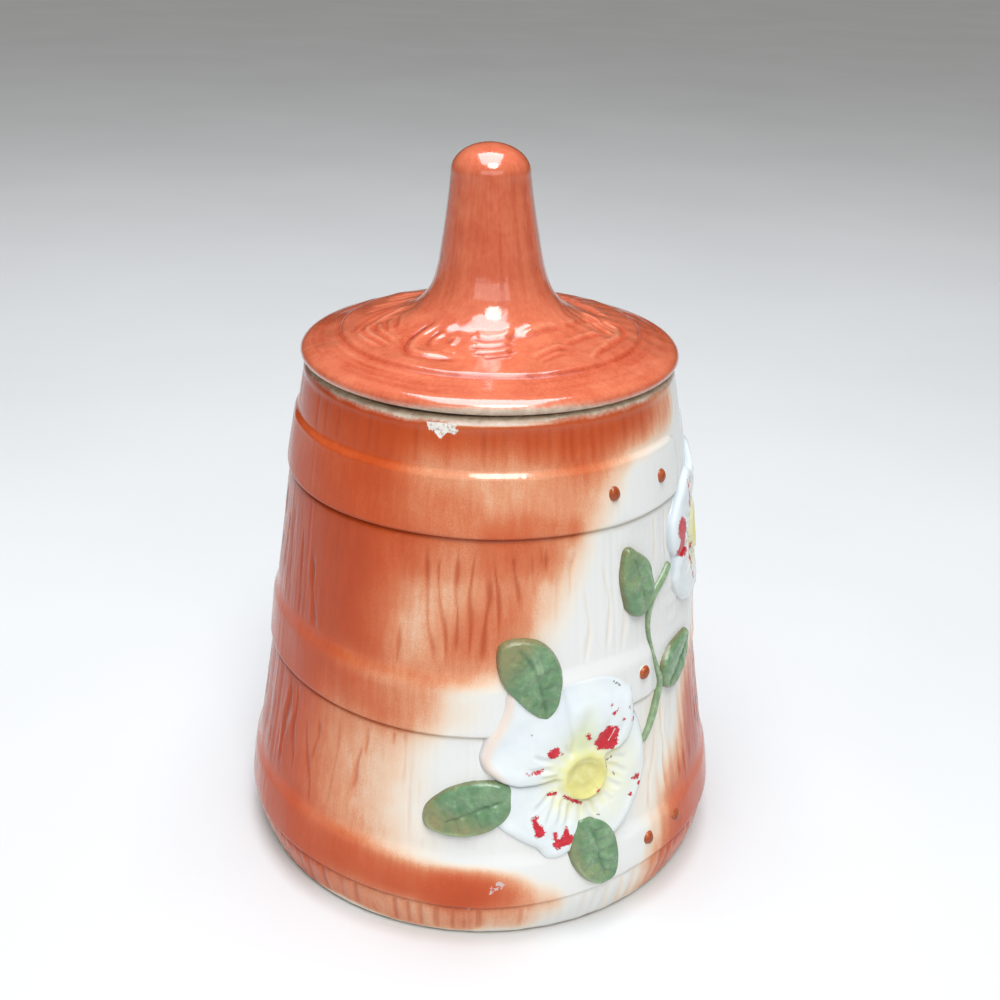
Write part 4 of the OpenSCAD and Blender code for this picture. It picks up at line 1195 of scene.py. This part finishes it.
def blossom(name, spec, node, flakes, lines, dots, greys, mat, merge_top):
    n_ang = 460
    rim = [0.0, 0.06, 0.18, 0.36, 0.6, 0.9, 1.3, 1.75, 2.3, 2.9]
    inner = np.linspace(1, 0, 74)[1:-1]

    def height(x, y, d):
        h, cav, r, th = petals(x, y, d, spec)
        edge = rounded(h, d, 2.2)
        if merge_top:
            # the top of the flower runs into the strap behind it
            z = spec["at"][1] + y
            strap = 1.15 * (1 - sstep(z, 100.0, 106.4))
            flat = strap + (h - 1.15) * (1 - sstep(y, 22, 35)) - 1.3 * (1 - sstep(d, 0, 4.5))
            k = sstep(y, 22, 29) * sstep(x, -24, -16)
            edge = edge + (np.where(d <= 0, -0.8, flat) - edge) * k
        return edge

    V, F, x, y, d = patch(spec["at"], spec["outline"], spec["centre"], n_ang, rim, inner, height)
    h, cav, r, th = petals(x, y, d, spec)
    yel = 1 - sstep(r, 7.0, 11.5) * 0.58 - 0.42 * sstep(r, 10, 23)
    rays = 0.5 + 0.5 * np.sin(np.radians(th) * 17 + 0.6 * np.sin(np.radians(th) * 5))
    yel = yel + 0.2 * rays * sstep(r, 9, 11) * (1 - sstep(r, 13, 20))
    yel = yel - 0.12 * bell(r, 3, 3.5)
    # a thin wash of the same yellow, widest on the right-hand petal
    wash = 0.12 + 0.24 * sstep(np.cos(np.radians(th + 25)), 0.3, 0.9)
    yel = np.maximum(yel, wash * (1 - sstep(r, 18, 31)))
    # painted shade: deeper yellow along the dish lines
    dish_shade = np.zeros(x.shape)
    for pts, w, dep in spec["dish_lines"]:
        dist, along, side = to_line(x, y, smooth_line(pts, 4))
        dish_shade = np.maximum(dish_shade, bell(dist, 0, w * 1.6))
    yel = np.clip(yel + 0.16 * dish_shade, 0, 1)
    if merge_top:
        grn = 0.7 * bell(x, -0.6, 4.6) * bell(y, 13.5, 6) + 0.3 * bell(x, 3.2, 3.6) * bell(y, 20, 7) + 0.3 * bell(x, -11, 5) * bell(y, 1.5, 3)
        # the last of the orange spray catches the rolled left edge
        peach = 0.6 * bell(d, 1.7, 1.7) * (1 - sstep(x, -24, -20)) * sstep(y, -2, 5)
    else:
        grn = 0.3 * bell(r, 12, 3) * rays
        peach = 0.1 * (1 - sstep(d, 0.3, 2.0)) * sstep(-y, 4, 12)
    red = flake_field(x, y, flakes, lines, dots)
    if merge_top:
        sd, _, _ = to_line(x, y, [(13.3, 14.9), (10.5, 11)])
        red = np.where(sd < 0.28, -0.6, red)
    grey = np.full(x.shape, -2.0)
    for pts, w in greys:
        dist, _, _ = to_line(x, y, pts)
        grey = np.maximum(grey, w - dist)
    s = lambda v, u, e: spread(v, n_ang, u, e)
    return make(name, V, F, {"yellow": s(yel, 0, 0.8), "green": s(grn, 0, 0), "red": s(red, -9, -9), "cav": s(cav, 0, 0),
                             "paint": s(peach, 0, 0), "grey": s(grey, -2, -2)}, mat, "jar", [node])


def leaf_glaze():
    p = Paint("leaf_glaze", coat=0.15, spec=0.4)
    vein, rib, d = p.attr("vein"), p.attr("rib"), p.attr("edge")
    warm, pale_highlight = p.attr("warm"), p.attr("pale_highlight")
    mott = p.noise(210, 5, 0.65)
    blot = p.noise(85, 3, 0.6, warp=0.5)
    col = p.ramp(mott, [(0.25, lin(84, 122, 84)), (0.5, lin(106, 142, 104)), (0.75, lin(136, 166, 128))])
    col = p.mix(p.math("MULTIPLY", p.fit(blot, 0.5, 0.72), 0.5), col, lin(154, 162, 112))
    col = p.mix(p.math("MULTIPLY", warm, p.fit(mott, 0.3, 0.6, 0.5, 1.0)), col, lin(142, 136, 92))
    # painted highlight: paler green streaks on the leaves
    col = p.mix(p.math("MULTIPLY", pale_highlight, p.fit(mott, 0.35, 0.65, 0.5, 1.0)), col, lin(150, 176, 138))
    col = p.mix(p.math("MULTIPLY", vein, p.fit(mott, 0.35, 0.65, 0.5, 0.2)), col, lin(58, 92, 62))
    col = p.mix(p.math("MULTIPLY", rib, 0.5), col, lin(156, 182, 146))
    # the colour turns brownish olive toward the edge
    e = p.math("ADD", d, p.fit(p.noise(800, 3, 0.6), 0.3, 0.7, -0.35, 0.35))
    col = p.mix(p.fit(e, 0.75, 0.1, 0.0, 0.75), col, lin(122, 112, 78))
    col = p.mix(p.math("MULTIPLY", p.fit(p.cells(420), 0.16, 0.05), p.fit(blot, 0.5, 0.6, 0, 0.35)), col, lin(206, 214, 190))
    rough = p.fit(mott, 0.3, 0.7, 0.16, 0.30)
    nrm = p.bump(mott, 0.16, 0.0005)
    nrm = p.bump(p.noise(700, 3, 0.6), 0.08, 0.0003, nrm)
    return p.done(col, rough, nrm)


LEAVES = {
    # outline, ridge or groove of the midrib, side veins, height above the wall, dome
    "leaf_mid": dict(
        at=(11.6, 104.3), centre=(0.2, -0.2), level=2.75,
        outline=[(-10.8, 12.8), (-11.8, 8.5), (-11.2, 2.5), (-9.1, -2.8), (-6.4, -6.2), (-3.9, -8.9), (0.6, -13.1), (4.2, -15.1),
                 (6.8, -14.9), (10.1, -10.7), (11.3, -4.8), (11.6, -1.1), (10.8, 3.5), (8.2, 8.7), (4.7, 12.4), (1.1, 14.3), (-4, 15), (-7.6, 14.6)],
        mid=([(-5.5, 13.2), (-1.2, 8.2), (1.6, 2.5), (3.2, -3.5), (4.8, -10), (5.4, -13.6)], 0.9, 0.42),
        veins=[([(-1.6, 8.6), (-5.4, 7.4), (-8.8, 7.8)], .7, .24), ([(0.8, 4.4), (-3.4, 2.4), (-8.2, 1.6)], .8, .26),
               ([(2.4, -0.6), (-1.2, -3.6), (-5.4, -4.4)], .8, .26), ([(3.6, -5), (1.4, -8), (-0.8, -9.8)], .7, .22),
               ([(0.2, 6), (2.6, 8.4), (3.4, 11.2)], .7, .2), ([(2, 1.4), (5.6, 3.6), (8.2, 5.4)], .8, .26),
               ([(3, -3), (6.8, -2.2), (10, -1)], .8, .26), ([(4.2, -7.6), (7, -7.4), (9.4, -7.6)], .7, .22)],
        ribs=[([(-0.2, 10.4), (1.4, 6.6), (2.6, 2.0)], .5, .16), ([(1.8, 9.2), (3.2, 5.4), (3.8, 1.4)], .45, .12)],
        warm=lambda x, y: 0.85 * sstep(-x + 0.7 * y, 3, 13), pale_highlight=lambda x, y: 0.75 * bell(x, 1.8, 2.0) * bell(y, 5.5, 5.5)),
    "leaf_left": dict(
        at=(-2.7, 56.1), centre=(0.8, 0.2), level=2.35,
        outline=[(-16.2, -5.6), (-15.6, -1.6), (-13.3, 1.9), (-8.1, 6.5), (-1.8, 9.3), (4.1, 10.6), (11, 10.3), (15.0, 8.7), (15.8, 4.2),
                 (15.7, -0.5), (13.3, -4.7), (8.1, -8.4), (1.2, -10.5), (-5.9, -10.8), (-11.3, -9.7), (-14.9, -8.0)],
        mid=([(-9.0, -5.4), (-3.0, -3.0), (2.5, -0.4), (8.2, 2.0), (13.4, 3.4)], 0.75, 0.5),
        veins=[([(-6, -4.2), (-8.2, -1.4), (-9.8, 0.6)], .7, .24), ([(-1.4, -2.2), (-3.4, 2), (-4.6, 5)], .8, .28),
               ([(3.4, 0), (1.8, 4), (1.2, 7.6)], .8, .28), ([(8, 2), (7.2, 5.6), (7.4, 8.4)], .75, .26),
               ([(-3.4, -3), (-3.2, -6.4), (-2, -9)], .7, .22), ([(2, -.6), (4, -4), (6, -7)], .8, .26),
               ([(7, 1.6), (9.8, -1.2), (12.4, -2.6)], .7, .22)],
        ribs=[([(-13.8, -2.2), (-14.4, -5.4), (-11.4, -8.3), (-5.6, -9.3), (0.6, -9.1), (5.8, -7.6)], .55, .3)],
        warm=lambda x, y: 0.8 * sstep(-y - 0.35 * x, -1, 8) + 0.55 * sstep(-x, 8, 15), pale_highlight=lambda x, y: 0.4 * bell(x, 8, 6) * bell(y, 6, 4)),
    "leaf_bottom": dict(
        at=(26.6, 34.6), centre=(0.0, 0.2), level=2.95,
        outline=[(-6.2, 14.2), (-1.8, 14.2), (4.4, 11.0), (8.6, 5.2), (10.2, -1), (10.4, -7.3), (8.4, -13), (4, -14.6), (-0.3, -13.9),
                 (-5.6, -9.7), (-9.5, -3.0), (-10.3, 2.7), (-9.2, 8.0), (-7.6, 11.9)],
        mid=([(-3.4, 12.4), (-0.6, 7.2), (0.9, 1.6), (2.0, -4.4), (4.4, -11.6)], 0.85, 0.5),
        veins=[([(-1.4, 8.8), (1.6, 8.6), (4.6, 9.4)], .7, .3), ([(0.2, 4.4), (3.6, 4.8), (7.4, 5.0)], .8, .36),
               ([(1.0, 0.4), (4.6, 0), (8.8, 1.2)], .8, .36), ([(1.8, -3.8), (5.2, -5), (9.2, -5.4)], .8, .34),
               ([(3, -8.2), (5.8, -9.2), (8.4, -10.6)], .7, .26), ([(-0.4, 6), (-3.8, 5.2), (-7, 6.2)], .75, .26),
               ([(0.8, 1), (-3, -0.6), (-7.6, -0.4)], .8, .28), ([(1.8, -4), (-1, -6.2), (-4.4, -7.6)], .75, .26)],
        ribs=[([(-8.6, -1.5), (-4.6, -8.4), (0.4, -12.4), (3.8, -13.2)], .5, .22)],
        warm=lambda x, y: 0.7 * sstep(-x - 0.3 * y, 3, 9), pale_highlight=lambda x, y: 0.35 * bell(x, 4, 4) * bell(y, 4, 7)),
    "leaf_upper": dict(
        at=(43.2, 131.1), centre=(0.2, 0.0), level=2.2,
        outline=[(-4.9, 13.4), (-2.6, 13.0), (0, 10.9), (5.3, 6.5), (7.5, -0.1), (8.3, -6.2), (5.7, -10.9), (1.6, -13.3), (-2.7, -12.9),
                 (-6, -9.5), (-7.4, -4.6), (-8.3, 3.1), (-7.5, 8.6), (-6.4, 12.0)],
        mid=([(-4.2, 11.6), (-1.8, 6.6), (0.0, 0.6), (1.6, -5.4), (2.0, -11)], 0.8, 0.34),
        veins=[([(-1.6, 6), (1.2, 5.4), (3.6, 5.2)], .7, .2), ([(0, 1), (3.2, 0.6), (6, 1.4)], .7, .22),
               ([(1.2, -3.6), (3.8, -5), (6.4, -5.2)], .7, .22), ([(-0.8, 3), (-3.8, 1.4), (-6.6, 1.8)], .7, .2),
               ([(0.8, -2.2), (-2.4, -4.6), (-5.4, -5.4)], .7, .2)],
        ribs=[([(2.4, 5.6), (5.2, 0.6), (6.2, -5.4), (4.4, -9.8)], .6, .25)],
        warm=lambda x, y: 0.35 * sstep(y, 2, 12), pale_highlight=lambda x, y: 0.55 * bell(x, 2.5, 3) * bell(y, 2, 8)),
    "leaf_right": dict(
        at=(59.2, 90.5), centre=(0.0, 0.2), level=2.2,
        outline=[(11.8, 7.4), (10.8, 3.0), (8.6, -0.8), (5.1, -4.6), (-1.1, -7.8), (-6.2, -8.6), (-9.8, -6.4), (-11.2, -3.6), (-10.6, 3.2),
                 (-5.1, 7.9), (1.9, 8.7), (7.6, 8.6)],
        mid=([(10.4, 6.8), (4.6, 3.0), (-1.4, -0.8), (-6.4, -4.4), (-8.8, -6.6)], 0.8, 0.44),
        veins=[([(5, 3.2), (4.6, 5.6), (3.6, 7.2)], .6, .2), ([(0, 0), (-1.6, 3.4), (-3.6, 5.8)], .7, .22),
               ([(-4, -2.6), (-6, 0), (-8, 2)], .6, .2), ([(2, 1.2), (2.4, -1.6), (1.6, -4)], .6, .2)],
        ribs=[([(8.6, 6.4), (3.0, 5.0), (-2.6, 2.4), (-7.4, -1.2)], .7, .22)],
        warm=lambda x, y: 0.2 * sstep(-y, 2, 8), pale_highlight=lambda x, y: 0.8 * bell(-0.6 * x + y, 2.6, 2.4)),
}


def leaf(name, spec, mat):
    n_ang = 230
    rim = [0.0, 0.05, 0.14, 0.28, 0.46, 0.7, 1.0, 1.4]
    inner = np.linspace(1, 0, 34)[1:-1]

    def detail(x, y):
        h = np.zeros(x.shape)
        vein = np.zeros(x.shape)
        rib = np.zeros(x.shape)
        pts, w, dep = spec["mid"]
        dist, along, side = to_line(x, y, smooth_line(pts, 5))
        end = sstep(along, 0, 0.1) * (1 - sstep(along, 0.9, 1.0))
        h += -dep * np.exp(-((dist / w) ** 2)) * end + 0.3 * (1 - np.exp(-((dist / 3.2) ** 2)))
        vein = np.maximum(vein, np.exp(-((dist / (0.7 * w)) ** 2)) * end)
        for pts, w, dep in spec["veins"]:
            dist, along, side = to_line(x, y, smooth_line(pts, 4))
            end = sstep(along, -0.1, 0.15) * (1 - sstep(along, 0.7, 1.0))
            # side veins are shallow folds, higher on one side
            h += (-0.75 * dep * np.exp(-((dist / (1.3 * w)) ** 2)) + 0.9 * dep * side * np.exp(-(((dist - 1.6 * w) / (1.6 * w)) ** 2))) * end
            vein = np.maximum(vein, 0.35 * np.exp(-((dist / (0.7 * w)) ** 2)) * end)
        for pts, w, dep in spec["ribs"]:
            dist, along, side = to_line(x, y, smooth_line(pts, 4))
            end = sstep(along, 0, 0.2) * (1 - sstep(along, 0.8, 1.0))
            h += dep * np.exp(-((dist / w) ** 2)) * end
            rib = np.maximum(rib, np.exp(-((dist / w) ** 2)) * end)
        h += 0.09 * (np.sin(0.9 * x + 0.5 * y) + np.sin(0.7 * y - 0.5 * x + 1.0)) \
            + 0.05 * np.sin(1.7 * x - 1.1 * y + 2 * np.sin(0.4 * y)) + 0.04 * np.sin(2.3 * y + 1.2 * x)
        return h, vein, rib

    def height(x, y, d):
        h, _, _ = detail(x, y)
        full = spec["level"] + 0.25 * sstep(d, 0.5, 5) + h * sstep(d, 0.2, 1.4)
        return rounded(full, d, 1.15)

    V, F, x, y, d = patch(spec["at"], spec["outline"], spec["centre"], n_ang, rim, inner, height)
    h, vein, rib = detail(x, y)
    keep = sstep(d, 0.3, 1.3)
    s = lambda v, u, e: spread(v, n_ang, u, e)
    return make(name + "_glazed", V, F, {
        "vein": s(vein * keep, 0, 0), "rib": s(rib * keep, 0, 0), "edge": s(d, 0, 6),
        "warm": s(np.clip(spec["warm"](x, y), 0, 1), 0, 0), "pale_highlight": s(np.clip(spec["pale_highlight"](x, y), 0, 1), 0, 0)},
        mat, "jar", [name])


def vine_glaze():
    p = Paint("vine_glaze", coat=0.6)
    mott = p.noise(300, 4, 0.6)
    long = p.noise(500, 3, 0.6, stretch=(1, 1, 0.2))
    side = p.attr("side")
    col = p.ramp(mott, [(0.25, lin(112, 138, 100)), (0.55, lin(136, 162, 122)), (0.8, lin(160, 182, 148))])
    col = p.mix(p.fit(long, 0.55, 0.75, 0, 0.4), col, lin(170, 172, 120))
    # painted shade: darker olive along both flanks of the stem
    col = p.mix(p.fit(side, 0.65, 1.0, 0, 0.6), col, lin(98, 112, 74))
    nrm = p.bump(mott, 0.12, 0.0004)
    return p.done(col, p.fit(mott, 0.3, 0.7, 0.18, 0.32), nrm)


def vine(mat):
    at = (52.0, 98.0)
    path = smooth_line([(8.4, 32.4), (5.4, 30.2), (1.2, 27.4), (-3.4, 24.2), (-6.3, 19.6), (-7.4, 12.4), (-5.6, 4), (-2.9, -5),
                        (-1.3, -11), (-4.7, -18.4), (-9.1, -25), (-13.6, -30.2)], 9)
    seg = np.hypot(*np.diff(path, axis=0).T)
    u = np.concatenate([[0], np.cumsum(seg)]) / seg.sum()
    wid = curve([0, .05, .16, .25, .33, .42, .52, .62, .72, .82, .9, .97, 1.0],
                [2.5, 3.2, 3.4, 2.5, 1.5, 1.3, 1.5, 2.2, 3.0, 3.1, 2.8, 2.5, 2.1], u)
    wid = wid * np.sqrt(np.clip(1 - (1 - np.clip(u / 0.02, 0, 1)) ** 2, 0.05, 1)) \
        * np.sqrt(np.clip(1 - (1 - np.clip((1 - u) / 0.012, 0, 1)) ** 2, 0.12, 1))
    tan = np.gradient(path, axis=0)
    tan /= np.hypot(tan[:, 0], tan[:, 1])[:, None]
    nor = np.stack([-tan[:, 1], tan[:, 0]], 1)
    k = 18
    ang = np.linspace(math.pi, 0, k)
    rows, sides = [], []
    for p, n, w, uu in zip(path, nor, wid, u):
        top = 0.55 + 0.55 * min(w, 3.0) / 1.5 + 0.12 * math.sin(uu * 23)
        c = np.cos(ang)
        ridge = np.sin(ang) ** 0.8
        x = np.concatenate([p[0] + n[0] * c * w / 2, p[0] + n[0] * np.array([0.9, -0.9]) * w / 2])
        y = np.concatenate([p[1] + n[1] * c * w / 2, p[1] + n[1] * np.array([0.9, -0.9]) * w / 2])
        h = np.concatenate([-0.25 + (top + 0.25) * ridge, [-0.8, -0.8]])
        rows.append(on_wall(at[0], at[1], x, y, h))
        sides.append(np.concatenate([np.abs(c), [1, 1]]))
    grid = np.array(rows)
    nj, ni = grid.shape[:2]
    V = np.vstack([grid.reshape(-1, 3), grid[0].mean(0), grid[-1].mean(0)])
    faces = shell_faces(nj, ni, nj * ni, nj * ni + 1)
    s = np.concatenate([np.array(sides).ravel(), [1, 1]])
    return make("vine_stem_glazed", V, faces, {"side": s}, mat, "jar", ["vine_stem"])


def rivet_glaze():
    p = Paint("rivet_glaze", coat=0.15, spec=0.35)
    cover = p.attr("cover")
    mott = p.noise(420, 4, 0.6)
    dab = p.ramp(mott, [(0.3, lin(142, 66, 34)), (0.55, lin(172, 86, 46)), (0.8, lin(196, 112, 66))])
    c = p.math("ADD", cover, p.fit(p.noise(900, 3, 0.6), 0.3, 0.7, -0.3, 0.3))
    col = p.mix(p.fit(c, -0.1, 0.25), p.ramp(mott, [(0.3, lin(226, 208, 186)), (0.7, lin(234, 228, 216))]), dab)
    col = p.mix(p.fit(c, 0.9, 1.7, 0, 0.35), col, lin(120, 52, 28))
    nrm = p.bump(mott, 0.12, 0.0003)
    return p.done(col, p.fit(mott, 0.3, 0.7, 0.16, 0.28), nrm)


def rivets(mat):
    # az, z, then where the dab of brown sits on the dome and how big it is
    heads = [(35.5, 165.5, 0.1, -0.1, 3.1), (55, 165, 0.3, -0.2, 3.0), (44, 95.5, 0.2, -0.1, 3.1), (42.5, 29, 0.3, -0.2, 3.1), (53, 30, 0.3, -0.2, 3.1)]
    V, F, C = [], [], []
    n = 36
    prof = [(1.3, -1.1), (2.35, -0.6), (2.6, -0.15), (2.62, 0.02), (2.5, 0.12), (2.36, 0.3), (2.26, 0.55), (2.05, 0.85),
            (1.75, 1.14), (1.38, 1.36), (0.95, 1.5), (0.5, 1.58)]
    for az, z, ox, oy, size in heads:
        t = np.arange(n) * 2 * math.pi / n
        start = len(V)
        ring = []
        for r, h in prof:
            wob = 1 + 0.05 * np.sin(2 * t + az) + 0.03 * np.sin(3 * t + z)
            x, y = r * wob * np.cos(t), r * wob * np.sin(t)
            ring.append(on_wall(az, z, x, y, np.full(n, 1.2 + h)))
            C += (size - np.hypot(x - ox, y - oy) - (0.8 if h < 0.1 else 0.0)).tolist()
        V += np.concatenate(ring).tolist()
        V += on_wall(az, z, np.array([0.0]), np.array([0.0]), np.array([0.1])).tolist()
        V += on_wall(az, z, np.array([0.0]), np.array([0.0]), np.array([2.8])).tolist()
        C += [-1, size - math.hypot(ox, oy)]
        m = len(prof) * n
        F += [[i + start for i in f] for f in shell_faces(len(prof), n, m, m + 1)]
    return make("hoop_rivets_glazed", np.array(V), F, {"cover": np.array(C)}, mat, "jar", ["hoop_rivets"])


petal_mat = petal_glaze()
blossom("lower_blossom_glazed", LOWER, "lower_blossom", FLAKES, FLAKE_LINES, FLAKE_DOTS, GREYS, petal_mat, True)
blossom("upper_blossom_glazed", UPPER, "upper_blossom", UP_FLAKES, UP_LINES, UP_DOTS, [], petal_mat, False)
leaf_mat = leaf_glaze()
for key, spec in LEAVES.items():
    leaf(key, spec, leaf_mat)
vine(vine_glaze())
rivets(rivet_glaze())


# ---------------------------------------------------------------- floor, lights, camera
def floor():
    p = Paint("pale_floor", rough=0.6)
    col = p.ramp(p.noise(3.0, 3), [(0.3, (0.66, 0.66, 0.65, 1)), (0.7, (0.70, 0.70, 0.69, 1))])
    mat = p.done(col, 0.6)
    n = 96
    t = np.linspace(0, 2 * math.pi, n, endpoint=False)
    verts = [(9 * math.cos(a), 9 * math.sin(a), 0.0) for a in t]
    me = bpy.data.meshes.new("floor")
    me.from_pydata(verts, [], [list(range(n))])
    me.materials.append(mat)
    ob = bpy.data.objects.new("floor", me)
    scene.collection.objects.link(ob)


def area(name, at, look, w, h, power, colour=(1, 1, 1)):
    li = bpy.data.lights.new(name, "AREA")
    li.shape = "RECTANGLE"
    li.size, li.size_y, li.energy, li.color = w, h, power, colour
    ob = bpy.data.objects.new(name, li)
    ob.location = at
    ob.rotation_mode = "QUATERNION"
    ob.rotation_quaternion = (Vector(look) - Vector(at)).to_track_quat("-Z", "Y")
    scene.collection.objects.link(ob)


def lights_and_camera():
    # a soft dome, brightest overhead and toward the front
    world = bpy.data.worlds.new("soft_studio")
    world.use_nodes = True
    t = world.node_tree
    bg = t.nodes["Background"]
    tc = t.nodes.new("ShaderNodeTexCoord")
    dot = t.nodes.new("ShaderNodeVectorMath")
    dot.operation = "DOT_PRODUCT"
    dot.inputs[1].default_value = (0.0, -0.5, 0.866)
    ramp = t.nodes.new("ShaderNodeValToRGB")
    t.links.new(tc.outputs["Generated"], dot.inputs[0])
    t.links.new(dot.outputs["Value"], ramp.inputs[0])
    t.links.new(ramp.outputs[0], bg.inputs[0])
    r = ramp.color_ramp
    r.elements[0].position, r.elements[0].color = 0.0, (0.17, 0.18, 0.18, 1)
    r.elements[1].position, r.elements[1].color = 1.0, (0.95, 1.0, 1.0, 1)
    for at, grey in ((0.25, 0.34), (0.5, 0.72), (0.75, 0.93)):
        e = r.elements.new(at)
        e.color = (grey * 0.96, grey, grey * 1.02, 1)
    bg.inputs[1].default_value = 0.95
    area("overhead", (-0.02, -0.08, 1.5), (-0.02, -0.04, 0.2), 1.0, 1.2, 27, (0.88, 0.93, 1.0))
    area("front_fill", (0.2, -2.3, 1.3), (0, 0, 0.08), 3.2, 0.9, 13)
    # a very broad soft light, which keeps the floor even far behind the jar
    sun = bpy.data.lights.new("broad", "SUN")
    sun.energy, sun.angle = 1.75, math.radians(26)
    ob = bpy.data.objects.new("broad", sun)
    ob.rotation_mode = "QUATERNION"
    ob.rotation_quaternion = Vector((-0.10, 0.54, -0.84)).to_track_quat("-Z", "Y")
    scene.collection.objects.link(ob)
    f = math.radians
    yaw, pit, rol = f(0.659), f(24.693), f(-1.574)
    fwd = Vector((math.sin(yaw) * math.cos(pit), math.cos(yaw) * math.cos(pit), -math.sin(pit)))
    right = Vector((math.cos(yaw), -math.sin(yaw), 0))
    down = fwd.cross(right)
    r2 = math.cos(rol) * right + math.sin(rol) * down
    d2 = -math.sin(rol) * right + math.cos(rol) * down
    cam = bpy.data.cameras.new("photo_view")
    cam.sensor_width = 36.0
    cam.lens = 46.31
    ob = bpy.data.objects.new("photo_view", cam)
    m = Matrix((r2, -d2, -fwd)).transposed().to_4x4()
    m.translation = Vector((0, -0.45337, 0.34305))
    ob.matrix_world = m
    scene.collection.objects.link(ob)
    scene.camera = ob
    scene.view_settings.view_transform = "Standard"


floor()
lights_and_camera()
